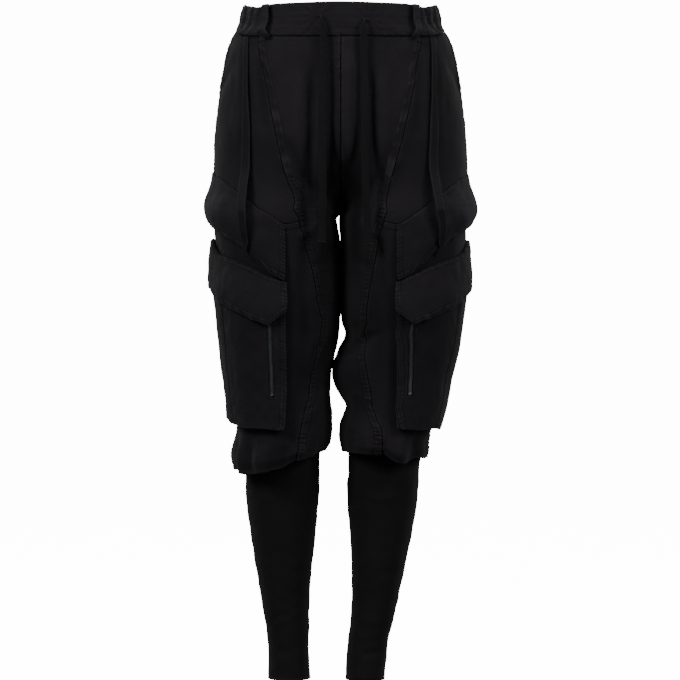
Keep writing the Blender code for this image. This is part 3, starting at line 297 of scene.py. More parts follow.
# creases too fine for the solids: face, leg, the line through (x or y, z) in millimetres
# measured from the middle plane to the leg's own side, height, and half width
CREASES = (
    ("front", "left", ((46, -60), (44, -130), (43, -215)), -2.2, 6),
    ("front", "left", ((32, -95), (30, -190), (33, -275)), 1.8, 6),
    ("front", "left", ((16, -55), (15, -150), (17, -280)), -2.4, 6),
    ("front", "left", ((60, -70), (66, -150), (58, -235)), 1.5, 8),
    ("front", "left", ((112, -50), (118, -110), (112, -190)), -2.4, 6),
    ("front", "left", ((128, -46), (127, -90), (124, -150)), 2.0, 5),
    ("front", "left", ((150, -60), (146, -140), (152, -200)), 1.6, 7),
    ("front", "left", ((90, -200), (70, -245), (40, -285)), 1.9, 7),
    ("front", "left", ((84, -180), (60, -232), (34, -268)), -1.8, 5),
    ("front", "left", ((30, -300), (46, -322), (66, -330)), 2.0, 6),
    ("front", "left", ((8, -330), (26, -362), (52, -380)), -1.7, 6),
    ("front", "left", ((50, -345), (56, -430), (52, -520)), -1.8, 7),
    ("front", "left", ((66, -400), (68, -480), (74, -590)), 1.5, 6),
    ("front", "left", ((20, -480), (34, -520), (58, -548)), -2.0, 5),
    ("front", "left", ((18, -545), (36, -580), (60, -606)), 1.8, 6),
    ("front", "left", ((30, -620), (33, -650), (35, -668)), -2.4, 5),
    ("front", "left", ((54, -628), (56, -655), (57, -676)), 2.0, 5),
    ("front", "left", ((82, -632), (84, -660), (84, -678)), -2.6, 5),
    ("front", "left", ((110, -630), (111, -660), (112, -682)), 2.2, 6),
    ("front", "left", ((134, -632), (134, -655), (133, -678)), -2.2, 5),
    ("front", "right", ((10, -62), (9, -140), (12, -228)), 1.8, 7),
    ("front", "right", ((24, -80), (23, -170), (26, -262)), -1.8, 6),
    ("front", "right", ((43, -70), (41, -140), (42, -240)), -2.2, 6),
    ("front", "right", ((60, -75), (64, -150), (56, -225)), 1.6, 8),
    ("front", "right", ((110, -52), (116, -120), (110, -200)), -2.4, 6),
    ("front", "right", ((124, -46), (124, -90), (122, -150)), 2.0, 5),
    ("front", "right", ((148, -60), (146, -140), (151, -205)), 1.5, 7),
    ("front", "right", ((88, -205), (66, -250), (38, -288)), 1.9, 7),
    ("front", "right", ((82, -184), (58, -236), (32, -270)), -1.8, 5),
    ("front", "right", ((22, -452), (28, -468), (33, -481)), -2.0, 4),
    ("front", "right", ((24, -300), (44, -322), (64, -330)), 1.9, 6),
    ("front", "right", ((6, -330), (24, -360), (48, -378)), -1.7, 6),
    ("front", "right", ((40, -345), (44, -430), (40, -520)), -1.8, 7),
    ("front", "right", ((62, -400), (66, -480), (70, -590)), 1.5, 6),
    ("front", "right", ((0, -500), (20, -486), (44, -474)), -2.0, 5),
    ("front", "right", ((6, -560), (26, -560), (48, -575)), 1.8, 6),
    ("front", "right", ((16, -610), (17, -630), (17, -650)), -2.3, 5),
    ("front", "right", ((38, -612), (40, -635), (41, -652)), 2.0, 5),
    ("front", "right", ((60, -625), (62, -645), (63, -660)), -2.4, 5),
    ("front", "right", ((86, -622), (87, -645), (88, -662)), 2.2, 6),
    ("front", "right", ((108, -622), (108, -642), (107, -658)), -2.0, 5),
    ("front", "left", ((36, -655), (52, -664), (72, -668)), -0.9, 4),
    ("front", "left", ((42, -700), (60, -712), (84, -708)), 0.8, 5),
    ("front", "left", ((94, -890), (106, -905), (120, -912)), -1.2, 4),
    ("front", "left", ((54, -880), (80, -896), (112, -900)), 0.9, 5),
    ("front", "left", ((52, -930), (76, -944), (104, -938)), -0.9, 5),
    ("front", "right", ((14, -880), (34, -896), (66, -900)), 0.9, 5),
    ("front", "right", ((28, -947), (46, -944), (66, -941)), -1.5, 3.5),
    ("front", "right", ((12, -915), (36, -922), (62, -916)), 0.9, 4),
    ("front", "right", ((14, -700), (50, -716), (90, -706)), 0.8, 5),
    ("back", "both", ((30, -110), (46, -210), (40, -300)), -2.4, 8),
    ("back", "both", ((70, -90), (96, -180), (92, -280)), 2.0, 10),
    ("back", "both", ((12, -190), (30, -262), (62, -300)), 2.2, 7),
    ("back", "both", ((14, -235), (36, -300), (74, -338)), -2.2, 6),
    ("back", "both", ((40, -350), (66, -430), (60, -520)), 2.2, 9),
    ("back", "both", ((96, -330), (110, -440), (98, -560)), -2.0, 9),
    ("back", "both", ((30, -470), (70, -500), (120, -486)), -2.2, 7),
    ("back", "both", ((26, -520), (64, -545), (108, -538)), 1.9, 7),
    ("back", "both", ((40, -600), (44, -640), (46, -665)), 2.4, 6),
    ("back", "both", ((66, -604), (68, -640), (70, -668)), -2.4, 5),
    ("back", "both", ((92, -606), (94, -640), (95, -668)), 2.2, 6),
    ("back", "both", ((116, -608), (117, -640), (117, -668)), -2.2, 5),
    ("back", "both", ((30, -716), (66, -724), (100, -712)), 1.4, 6),
    ("back", "both", ((34, -745), (64, -754), (96, -744)), -1.5, 6),
    ("back", "both", ((30, -905), (60, -915), (92, -904)), 1.1, 5),
    ("side", "both", ((-60, -60), (-20, -120), (0, -190)), -1.6, 8),
    ("side", "both", ((60, -60), (40, -150), (46, -215)), 1.8, 9),
    ("side", "both", ((10, -440), (16, -520), (6, -596)), -2.0, 9),
    ("side", "both", ((-20, -625), (-18, -645), (-18, -668)), 2.2, 6),
    ("side", "both", ((14, -625), (15, -645), (16, -668)), -2.4, 6),
    ("inner", "both", ((-60, -330), (-30, -400), (-34, -500)), -2.2, 8),
    ("inner", "both", ((30, -330), (10, -420), (24, -520)), 2.0, 9),
    ("inner", "both", ((-70, -470), (-20, -500), (40, -492)), -2.0, 7),
)


# ---- the cloth's smooth form

def flat_power(value, square):
    return np.sign(value) * np.abs(value) ** (2 / square)


def extents(part, side, z):
    """Outer, inner, front and back of the leg or the knit tube at height z."""
    sizes = (LEG if part == "leg" else SHANK)[side]
    return [at(sizes, name, z) for name in ("outer", "inner", "front", "back")]


def ring(part, side, z, u):
    """A closed section: u 0 and 1 at the inside of the leg, 0.25 front, 0.5 side, 0.75 back."""
    outer, inner, front, back = extents(part, side, z)
    turn = 2 * pi * (np.asarray(u, float) - 0.5)
    return np.stack([
        (outer + inner) / 2 + (outer - inner) / 2 * flat_power(np.cos(turn), LEG_SQUARE),
        (front + back) / 2 + (back - front) / 2 * flat_power(np.sin(turn), LEG_SQUARE)], axis=-1)


def fork_share(z):
    """How far the two legs have parted: the crotch seam curves under, seen from the side."""
    return np.clip((SEAT_Z - z) / (SEAT_Z - CROTCH_Z), 0, 1) ** 3


def section(side, z, u):
    """The smooth outer face at height z, in the leg's own side; above the crotch half a body."""
    z, u = np.broadcast_arrays(np.asarray(z, float), np.asarray(u, float))
    share = fork_share(z)[..., None]
    outer, inner, front, back = extents("leg", side, z)
    turn = pi * (u - 0.5)
    half = np.stack([
        inner + (outer - inner) * np.abs(np.cos(turn)) ** (2 / HIP_SQUARE),
        (front + back) / 2 + (back - front) / 2 * flat_power(np.sin(turn), HIP_SQUARE)], axis=-1)
    return ring("leg", side, z, u) * share + half * (1 - share)


def soft_section(side, z, u):
    """The section with the legs' parting spread over a little height, away from the middle."""
    spot = section(side, z, u)
    spread = sum(share * section(side, z + step * MM, u) for step, share in (
        (-18, 1 / 9), (-9, 2 / 9), (0, 3 / 9), (9, 2 / 9), (18, 1 / 9)))
    return spot + (spread - spot) * ease(8 * MM, 26 * MM, spot[..., :1])


def u_at_x(side, z, x):
    """The place on the front of a section that lies x from the middle plane."""
    z, x = np.broadcast_arrays(np.asarray(z, float), np.asarray(x, float))
    low, high = np.zeros(z.shape), np.full(z.shape, 0.5)
    for _ in range(30):
        mid = (low + high) / 2
        short = section(side, z, mid)[..., 0] < x
        low, high = np.where(short, mid, low), np.where(short, high, mid)
    return low


HEIGHTS = np.arange(-700, 41, 2) * MM
SEAM_U = {side: u_at_x(side, HEIGHTS, at(FRONT_SEAM[side], "x", HEIGHTS)) for side in SIGN}
EDGE_U = {side: u_at_x(side, HEIGHTS, POCKET_EDGE_X) for side in SIGN}


def column_u(side, z, col):
    """Where a column lies round the section at height z."""
    z, col = np.broadcast_arrays(np.maximum(z, CUFF_Z), np.asarray(col, float))
    seam = np.interp(z, HEIGHTS, SEAM_U[side])
    below = ease(0.19, 0.30, -z)
    edge = seam + 0.3 * (SIDE_U - seam)
    edge = edge + below * (np.interp(z, HEIGHTS, EDGE_U[side]) - edge)
    ridge = edge + (SIDE_U - edge) * (COL_RIDGE - COL_POCKET) / (COL_SIDE - COL_POCKET)
    ridge = ridge + below * (RIDGE_U - ridge)
    marks = np.array([COL_FRONT, COL_SEAM, COL_POCKET, COL_RIDGE, COL_SIDE, COL_HEEL, COL_BACK])
    level_here = np.ones(z.shape)
    places = np.stack([0 * level_here, seam, edge, ridge, SIDE_U * level_here,
                       HEEL_U * level_here, level_here])
    k = np.clip(np.searchsorted(marks, col, side="right") - 1, 0, len(marks) - 2)
    low, high = (np.take_along_axis(places, (k + step)[None], 0)[0] for step in (0, 1))
    return low + (high - low) * (col - marks[k]) / (marks[k + 1] - marks[k])


def level(side, name, col):
    return at(LEVEL[side], name, np.asarray(col, float) * MM)


ROW_MARKS = np.array([*range(ROW_HIP + 1), ROW_FLAP, ROW_BASE, ROW_CUFF], float)


def row_heights(side, col):
    """The heights of the marked rows at each column."""
    waist, hip, flap, base, cuff = (level(side, name, col)
                                    for name in ("waist", "hip", "flap", "base", "cuff"))
    upper = [waist + (hip - waist) * share for share in UPPER_SHARE]
    return np.stack(upper + [flap, base, cuff])


def row_z(side, row, col):
    """The height of a row at a column, down to the cuff edge."""
    row, col = np.broadcast_arrays(np.minimum(row, float(ROW_CUFF)), np.asarray(col, float))
    heights = row_heights(side, col)
    k = np.clip(np.searchsorted(ROW_MARKS, row, side="right") - 1, 0, len(ROW_MARKS) - 2)
    low, high = (np.take_along_axis(heights, (k + step)[None], 0)[0] for step in (0, 1))
    return low + (high - low) * (row - ROW_MARKS[k]) / (ROW_MARKS[k + 1] - ROW_MARKS[k])


def row_at_z(side, z, col):
    """The row that passes through height z at a column."""
    z, col = np.broadcast_arrays(np.asarray(z, float), np.asarray(col, float))
    heights = row_heights(side, col)
    k = np.clip((heights > z).sum(axis=0) - 1, 0, len(ROW_MARKS) - 2)
    low, high = (np.take_along_axis(heights, (k + step)[None], 0)[0] for step in (0, 1))
    return ROW_MARKS[k] + (z - low) / (high - low) * (ROW_MARKS[k + 1] - ROW_MARKS[k])


def fold_depth(side, z, u, x):
    """What the largest folds and the cuff's gathers add along the normal, as on the solids."""
    depth = np.zeros(z.shape)
    for fold in FOLDS:
        line = dict(zip(FOLD_COLUMNS.split(), fold))
        if line["side"] != side:
            continue
        t = (z / MM - line["z_top"]) / (line["z_low"] - line["z_top"])
        middle = line["x_top"] + (line["x_low"] - line["x_top"]) * t
        fade = ease(-0.15, 0.15, t) * (1 - ease(0.85, 1.15, t))
        on_face = (u < 0.5) if line["face"] == "front" else (u >= 0.5)
        depth += line["depth"] * MM * fade * on_face * bump(x / MM, middle, line["width"])
    swell = ease(-GATHER_TOP, -GATHER_FULL, -z)
    turn = 2 * pi * u
    return depth + GATHER_DEPTH * swell * np.sin(
        GATHERS * turn + 1.1 * np.sin(2 * turn + 0.8)) * np.sin(pi * u)


def cloth(side, row, col):
    """Points of the outer face at (row, column)."""
    row, col = np.broadcast_arrays(np.asarray(row, float), np.asarray(col, float))
    z = row_z(side, row, col)
    u = column_u(side, z, col)
    spot = soft_section(side, z, u)
    nearby = (soft_section(side, z, np.minimum(u + 0.004, 1))
              - soft_section(side, z, np.maximum(u - 0.004, 0)))
    normal = np.stack([nearby[..., 1], -nearby[..., 0]], axis=-1)
    normal /= np.linalg.norm(normal, axis=-1, keepdims=True)
    away = spot - section(side, z, np.full(z.shape, 0.5)) * 0.5
    normal *= np.where((normal * away).sum(axis=-1) > 0, 1, -1)[..., None]
    spot = spot + normal * fold_depth(side, z, u, spot[..., 0])[..., None]
    tuck = np.clip((row - ROW_CUFF) / (ROW_TUCK - ROW_CUFF), 0, 1)
    tucked = row >= ROW_CUFF
    low = z + np.where(tucked, 11 * MM * tuck ** 2.6, 0)
    knit = ring("shank", side, low, u)
    apart = knit - ring("shank", side, low, (u + 0.5) % 1)
    knit = knit + apart / np.linalg.norm(apart, axis=-1, keepdims=True) * SEAM_GAP * 1.6
    reach = np.where(tucked, 0.14 + 0.86 * tuck ** 0.8, 0.14 * ease(-1.2, 0, row - ROW_CUFF))
    spot = spot + (knit - spot) * reach[..., None]
    inner = np.where(row <= ROW_HIP, 0, extents("leg", side, z)[1])
    spot[..., 0] = np.where(tucked, spot[..., 0], np.maximum(spot[..., 0], inner))
    middle = (row <= ROW_HIP) & ((col <= COL_FRONT) | (col >= COL_BACK))
    spot[..., 0] = np.where(middle, 0, spot[..., 0])
    return np.stack([SIGN[side] * spot[..., 0], spot[..., 1], low], axis=-1)


def unit(ways):
    return ways / np.maximum(np.linalg.norm(ways, axis=-1, keepdims=True), 1e-12)


def on_cloth(side, row, col, out=0.0):
    """Points at (row, column), moved out along the cloth's normal."""
    row, col = np.broadcast_arrays(np.asarray(row, float), np.asarray(col, float))
    down = cloth(side, row + 0.04, col) - cloth(side, row - 0.04, col)
    around = cloth(side, row, col + 0.04) - cloth(side, row, col - 0.04)
    normal = unit(np.cross(down, around) * SIGN[side])
    return cloth(side, row, col) + normal * np.asarray(out, float)[..., None]


def tangents(points, axis):
    """Directions along one axis of a grid: at each point half way between the two next to it."""
    steps = unit(np.diff(points, axis=axis))
    first, last = steps.take([0], axis=axis), steps.take([-1], axis=axis)
    return unit(np.concatenate([first, steps], axis=axis) + np.concatenate([steps, last], axis=axis))


def grid_normals(points, side):
    """Outward normals of a grid whose columns run from the front round the side."""
    return unit(np.cross(tangents(points, 0), tangents(points, 1)) * SIGN[side])


def arc(points, axis):
    """Lengths along one axis of a grid, from its first point."""
    steps = np.linalg.norm(np.diff(points, axis=axis), axis=-1)
    start = np.zeros_like(steps.take([0], axis=axis))
    return np.concatenate([start, np.cumsum(steps, axis=axis)], axis=axis)


def lumps(points, size, seed=0.0):
    """Smooth bumps from -1 to 1, about size across, the same in every run."""
    place = np.asarray(points, float) / size
    cell = np.floor(place)
    part = place - cell
    part = part * part * (3 - 2 * part)
    total = np.zeros(place.shape[:-1])
    for corner in product((0, 1), repeat=place.shape[-1]):
        mixed = ((cell + corner) * LATTICE[:place.shape[-1]]).sum(axis=-1) + seed * 17.31
        value = np.sin(mixed) * 43758.5453
        total += (value - np.floor(value)) * 2 * np.prod(
            np.where(corner, part, 1 - part), axis=-1)
    return total - 1


LATTICE = np.array([127.1, 311.7, 74.7])


# ---- making pieces

def ride(piece, nodes=()):
    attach(piece, BODY)
    if nodes:
        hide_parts(*nodes)
    return piece


def mesh_piece(name, vertices, faces, material, shades=None, places=None, smooth=True):
    """A mesh piece; shades is how worn each point is and the painted light and shade it carries, places
    its (across, along) in metres.
    """
    name += "" if material in METALS or material == "thread" else "_cloth"
    mesh = bpy.data.meshes.new(name)
    mesh.from_pydata(np.asarray(vertices).tolist(), [], faces)
    mesh.update()
    if smooth:
        mesh.shade_smooth()
    if shades is not None:
        mesh.attributes.new("seam_wear_and_shade", "FLOAT", "POINT").data.foreach_set(
            "value", np.asarray(shades, np.float32).ravel())
    if places is not None:
        corners = np.empty(len(mesh.loops), np.int32)
        mesh.loops.foreach_get("vertex_index", corners)
        layer = mesh.uv_layers.new(name="grain")
        layer.data.foreach_set("uv", np.asarray(places, np.float32)[corners].ravel())
    mesh.materials.append(FINISHES[material])
    piece = bpy.data.objects.new(name, mesh)
    bpy.context.scene.collection.objects.link(piece)
    return piece


def wall_faces(rows, cols, closed):
    """Quads of an outer grid, an inner one behind it, and the rims between them."""
    count = rows * cols
    last = cols if closed else cols - 1
    faces = []
    for r in range(rows - 1):
        for k in range(last):
            a, b = r * cols + k, r * cols + (k + 1) % cols
            faces.append((a, b, b + cols, a + cols))
            faces.append((a + count, a + cols + count, b + cols + count, b + count))
    for r, turned in ((0, True), (rows - 1, False)):
        for k in range(last):
            a, b = r * cols + k, r * cols + (k + 1) % cols
            quad = (a, b, b + count, a + count)
            faces.append(quad[::-1] if turned else quad)
    if not closed:
        for k, turned in ((0, False), (cols - 1, True)):
            for r in range(rows - 1):
                a, b = r * cols + k, (r + 1) * cols + k
                quad = (a, b, b + count, a + count)
                faces.append(quad[::-1] if turned else quad)
    return faces


def shell(name, outer, inner, material, wear_and_shade=None, closed=False, flip=False):
    """A thin shell of cloth between two grids, its weave laid along the grid."""
    rows, cols = outer.shape[:2]
    faces = wall_faces(rows, cols, closed)
    if flip:
        faces = [face[::-1] for face in faces]
    wear_and_shade = np.zeros((rows, cols)) if wear_and_shade is None else wear_and_shade
    place = np.stack([arc(outer, 1), arc(outer, 0)], axis=-1).reshape(-1, 2)
    return mesh_piece(name, np.concatenate([outer.reshape(-1, 3), inner.reshape(-1, 3)]), faces,
                      material, np.concatenate([wear_and_shade.ravel(), wear_and_shade.ravel() * 0.3]),
                      np.concatenate([place, place]))


def outward_flip(side):
    return side == "left"


def steps_between(width, pitch, edges=(True, True)):
    """Places from 0 to 1 across a width, closer together by the edges that carry a seam."""
    near = EDGE_STEPS / width
    near = near[near < 0.45]
    places = [0.0, 1.0]
    if edges[0]:
        places += list(near)
    if edges[1]:
        places += list(1 - near)
    start = near[-1] if edges[0] and len(near) else 0
    end = 1 - near[-1] if edges[1] and len(near) else 1
    count = max(int(round((end - start) * width / pitch)), 1)
    places += [start + (end - start) * k / count for k in range(count + 1)]
    return np.unique(np.round(places, 7))


EDGE_STEPS = np.array([0.5, 1.0, 1.6, 2.4, 3.4, 4.8, 6.4, 8.0, 9.4, 10.6, 12.0]) * MM

# a seam seen across: how deep its join is, where its stitch rows run, how wide its felled band is; shade
# is how wide the painted shade along its join is, pale how much paler its rubbed edge is
SEAM_STYLES = {
    "felled": dict(join=0.9, rows=(1.8, 10.2), band=11.0, rise=0.8, pucker=0.95),
    "plain": dict(join=0.9, rows=(), band=0, rise=0, pucker=0.55),
    "stitched": dict(join=0.9, rows=(1.8,), band=0, rise=0, pucker=0.85),
    "double": dict(join=0.8, rows=(1.8, 7.6), band=8.6, rise=0.5, pucker=0.85),
    "tucked": dict(join=1.0, rows=(6.0,), band=7.0, rise=0.6, pucker=0.7, shade=2.6),
    "ridge": dict(join=0.5, rows=(), band=4.5, rise=0.8, pucker=0.4, pale=0.45),
    "hem": dict(join=0.0, rows=(2.0,), band=3.0, rise=0.3, pucker=0.5),
    "gathered": dict(join=0.6, rows=(), band=0, rise=0, pucker=1.2),
}


def seam_relief(style, away, along, seed):
    """Height, wear and painted light that a seam gives the cloth beside it, away from it and along it:
    paler rubbing beside it, painted shade in its join and just past its felled band, and painted light
    and shade across the band's puckers.
    """
    kind = SEAM_STYLES[style]
    far = away / MM
    line = np.stack([along, far * 0], axis=-1)
    wobble, longer = lumps(line, 4.6 * MM, seed), lumps(line, 13 * MM, seed + 5)
    height = -1.2 * kind["join"] * bump(far, 0, 0.9)
    height += kind["pucker"] * (0.7 * wobble + 0.5 * longer) * np.exp(-far / 8.0) * ease(0, 1.5, far)
    # pale rubbing a little off the seam, and painted shade along the join itself
    wear_and_shade = ((0.26 + 0.22 * longer + kind.get("pale", 0)) * bump(far, 2.0, 1.3)
            - 1.3 * bump(far, 0, kind.get("shade", 1.05)))
    if kind["band"]:
        within = ease(0.3, 1.3, far) * (1 - ease(kind["band"] - 0.6, kind["band"] + 0.8, far))
        height += kind["rise"] * within
        # the band's edge is rubbed pale, and painted shade lies just past it
        wear_and_shade += ((0.2 + 0.25 * wobble) * bump(far, kind["band"] - 0.8, 1.0)
                 - (0.5 + 0.2 * longer) * bump(far, kind["band"] + 0.7, 1.0))
        rungs = np.sin(2 * pi * (along / MM / 5.2 + 0.5 * longer) + 0.25 * far)
        height += 0.5 * kind["pucker"] * rungs * within
        # painted light and shade across the puckers, following their rise and fall
        wear_and_shade += (0.55 * rungs - 0.10) * within * (0.75 + 0.35 * longer)
    for row in kind["rows"]:
        height -= 0.34 * bump(far, row, 0.7) * (0.8 + 0.3 * wobble)
        wear_and_shade += (0.16 + 0.16 * wobble) * bump(far, row, 1.3)
    return height * MM, wear_and_shade


def crease_relief(side, points, normals):
    """Folds too fine for the solids: listed lines over front, back and sides."""
    x, y, z = points[..., 0] * SIGN[side] / MM, points[..., 1] / MM, points[..., 2] / MM
    height = np.zeros(x.shape)
    facing = {"front": ease(-0.15, 0.35, -normals[..., 1]), "back": ease(-0.15, 0.35, normals[..., 1]),
              "side": ease(0.3, 0.75, normals[..., 0] * SIGN[side]),
              "inner": ease(0.3, 0.75, -normals[..., 0] * SIGN[side])}
    for face, own, line, depth, width in CREASES:
        if own not in (side, "both"):
            continue
        across = x if face in ("front", "back") else y
        ends = np.array(line, float)
        nearest = np.full(x.shape, 1e9)
        gone = np.zeros(x.shape)
        total = np.linalg.norm(np.diff(ends, axis=0), axis=1).sum()
        before = 0.0
        for (ax, az), (bx, bz) in zip(ends[:-1], ends[1:]):
            span = np.hypot(bx - ax, bz - az)
            t = np.clip(((across - ax) * (bx - ax) + (z - az) * (bz - az)) / span ** 2, 0, 1)
            apart = np.hypot(across - ax - t * (bx - ax), z - az - t * (bz - az))
            closer = apart < nearest
            nearest = np.where(closer, apart, nearest)
            gone = np.where(closer, (before + t * span) / total, gone)
            before += span
        taper = ease(0, 0.22, gone) * (1 - ease(0.78, 1, gone))
        height += depth * facing[face] * taper * np.exp(-(nearest / width) ** 2)
    return height * MM


def cloth_relief(side, points, normals):
    """The worn cloth's own unevenness, with the listed creases."""
    broad = lumps(points, (34 * MM, 34 * MM, 60 * MM), 1.0) * 1.25
    middle = lumps(points, (12 * MM, 12 * MM, 26 * MM), 2.0) * 0.62
    fine = lumps(points, 5 * MM, 3.0) * 0.16
    return (broad + middle + fine) * MM + crease_relief(side, points, normals)


def turned(grid, edge):
    """The grid seen from one edge: first axis along that edge, second away from it."""
    return {"front": lambda g: g, "back": lambda g: g[:, ::-1],
            "top": lambda g: g.swapaxes(0, 1), "low": lambda g: g[::-1].swapaxes(0, 1)}[edge](grid)


def restored(grid, edge):
    return {"front": lambda g: g, "back": lambda g: g[:, ::-1],
            "top": lambda g: g.swapaxes(0, 1), "low": lambda g: g.swapaxes(0, 1)[::-1]}[edge](grid)


def inset_line(grid, normals, edge, far):
    """The line on a grid that runs at a distance from one of its edges, with its normals."""
    grid, normals = turned(grid, edge), turned(normals, edge)
    reach = arc(grid, 1)
    line, ways = [], []
    for points, outs, gone in zip(grid, normals, reach):
        k = min(max(int(np.searchsorted(gone, far)) - 1, 0), len(gone) - 2)
        t = (far - gone[k]) / max(gone[k + 1] - gone[k], 1e-9)
        line.append(points[k] + (points[k + 1] - points[k]) * t)
        ways.append(outs[k] + (outs[k + 1] - outs[k]) * t)
    return np.array(line), unit(np.array(ways))


STITCHES = {}                # lines of sewing, by the piece that they make up


def sew(name, line, ways, trim=(3 * MM, 3 * MM)):
    reach = arc(line[None], 1)[0]
    keep = (reach >= trim[0]) & (reach <= reach[-1] - trim[1])
    if keep.sum() > 2:
        STITCHES.setdefault(name, []).append((line[keep], ways[keep]))


def dress(grid, normals, styles, seed, relief=0.0, sewn=None):
    """Lays the seams' relief on a grid of cloth; gives the outer face, and how worn it is with the
    painted light and shade that the seams and the relief give it.
    """
    height = np.zeros(grid.shape[:2]) + relief
    wear_and_shade = np.zeros(grid.shape[:2])
    for number, (edge, style) in enumerate(styles.items()):
        seen = turned(grid, edge)
        lift, worn_and_shaded = seam_relief(style, arc(seen, 1), arc(seen, 0), seed + number * 3.7)
        height += restored(lift, edge)
        wear_and_shade += restored(worn_and_shaded, edge)
    # painted shade in the relief's hollows, and paler ridges as rubbing and as painted highlight
    wear_and_shade += np.clip(0.075 * relief / MM, -0.35, 0.22)
    outer = grid + normals * height[..., None]
    if sewn:
        for edge, style in styles.items():
            for far in SEAM_STYLES[style]["rows"]:
                sew(sewn, *inset_line(outer, normals, edge, far * MM))
    return outer, wear_and_shade


def cut_of(grid):
    """Width, length and area of the flat cloth that a grid was cut as."""
    across, down = arc(grid, 1)[:, -1], arc(grid, 0)[-1]
    a, b = grid[1:, 1:] - grid[:-1, :-1], grid[1:, :-1] - grid[:-1, 1:]
    area = np.linalg.norm(np.cross(a, b), axis=-1).sum() / 2
    return across.max(), down.max(), area


def cloth_piece(name, grid, outer, thick, normals, material, wear_and_shade, side, nodes,
                closed=False, flip=None):
    """A sheet of cloth as a shell, riding and standing for its solids."""
    flip = outward_flip(side) if flip is None else flip
    piece = shell(name, outer, outer - normals * thick, material, wear_and_shade, closed, flip)
    ride(piece, nodes)
    width, length, area = cut_of(grid)


# ---- the body of the joggers

def leg_rows(first, last):
    """Rows from first to last, closer together under a seam and round the cuff's fold."""
    rows = [r + k / 9 for r in range(first, last) for k in range(9)] + [last]
    if first == ROW_WAIST:
        rows += [0.015, 0.03, 0.05, 0.075, 0.15]
    return np.unique(np.round(rows, 5))


PANEL_PITCH, KNIT_COLUMNS = 3.5 * MM, 108


def body_panel(name, side, rows, cols, width, styles):
    """One of the leg's panels, as it lies on the smooth form."""
    across = steps_between(width, PANEL_PITCH, ("front" in styles, "back" in styles))
    row, col = np.meshgrid(leg_rows(*rows), cols[0] + (cols[1] - cols[0]) * across, indexing="ij")
    grid = cloth(side, row, col)
    normals = grid_normals(grid, side)
    for edge, place in ((0, COL_FRONT), (-1, COL_BACK)):
        if cols[edge] == place:
            above = row[:, 0] <= ROW_HIP
            normals[above, edge, 0] = 0
    normals = unit(normals)
    calm = 1 - 0.85 * bump(grid[..., 0], 0, 14 * MM) * ease(0.24, 0.30, -grid[..., 2])
    relief = cloth_relief(side, grid, normals) * calm * (1 - 0.9 * ease(ROW_CUFF, ROW_TUCK, row))
    outer, wear_and_shade = dress(grid, normals, styles, sum(map(ord, name)) % 89, relief,
                        f"topstitching_{side}")
    wear_and_shade += 0.22 * bump(row, ROW_CUFF, 0.35)
    # painted shade: darker from the crotch down, less so at the cuff
    wear_and_shade -= 0.30 * ease(0.21, 0.34, -grid[..., 2]) * (1 - 0.6 * ease(ROW_BASE, ROW_CUFF, row))
    cloth_piece(f"{name}_{side}", grid, outer, WOVEN, normals, "twill", wear_and_shade, side,
                [f"{name}_{side}"])


def hip_yoke(side):
    """From the slanting seam to the pocket mouth and the side seam, waist to hip seam."""
    across = steps_between(0.11, 3.2 * MM)
    row, share = np.meshgrid(leg_rows(0, ROW_HIP), across, indexing="ij")
    low = np.minimum(row / MOUTH_LOW_ROW, 1)
    end = MOUTH_TOP_COL + (COL_SIDE - MOUTH_TOP_COL) * low ** 1.6
    col = COL_SEAM + (end - COL_SEAM) * share
    grid = on_cloth(side, row, col, np.sin(pi * low) * share ** 4 * MOUTH_GAPE)
    normals = grid_normals(grid, side)
    outer, wear_and_shade = dress(grid, normals, {"front": "stitched", "back": "double", "top": "plain"}, 21,
                        cloth_relief(side, grid, normals), f"topstitching_{side}")
    # painted shade: the yoke darker throughout, and darker still in a strip down its middle from the
    # waist
    wear_and_shade -= 0.24 + 0.34 * bump(share, 0.42, 0.1) * (1 - ease(2, 8, row))
    cloth_piece(f"hip_yoke_{side}", grid, outer, WOVEN, normals, "twill", wear_and_shade, side,
                [f"hip_yoke_{side}"])


def hip_facing(side):
    """The cloth inside the gaping pocket mouth, coloured dark as painted shade."""
    row, col = np.meshgrid(np.linspace(0.1, MOUTH_LOW_ROW + 1, 50), np.linspace(12, 16.5, 34),
                           indexing="ij")
    grid = on_cloth(side, row, col, -FACING_DEPTH)
    normals = grid_normals(grid, side)
    outer = grid + normals * (lumps(grid, 16 * MM, 9)[..., None] * 0.4 * MM)
    cloth_piece(f"hip_facing_{side}", grid, outer, 0.9 * MM, normals, "pocketing", None, side,
                [f"hip_facing_{side}"])


def leg_panels(side):
    body_panel("front_centre", side, (ROW_WAIST, ROW_TUCK), (COL_FRONT, COL_SEAM), 0.085,
               {"front": "stitched", "back": "felled", "top": "plain"})
    body_panel("leg_front", side, (ROW_HIP, ROW_TUCK), (COL_SEAM, COL_SIDE), 0.14,
               {"front": "stitched", "back": "plain", "top": "double"})
    body_panel("back", side, (ROW_WAIST, ROW_TUCK), (COL_SIDE, COL_BACK), 0.24,
               {"front": "double", "back": "felled", "top": "plain"})
    hip_yoke(side)
    hip_facing(side)


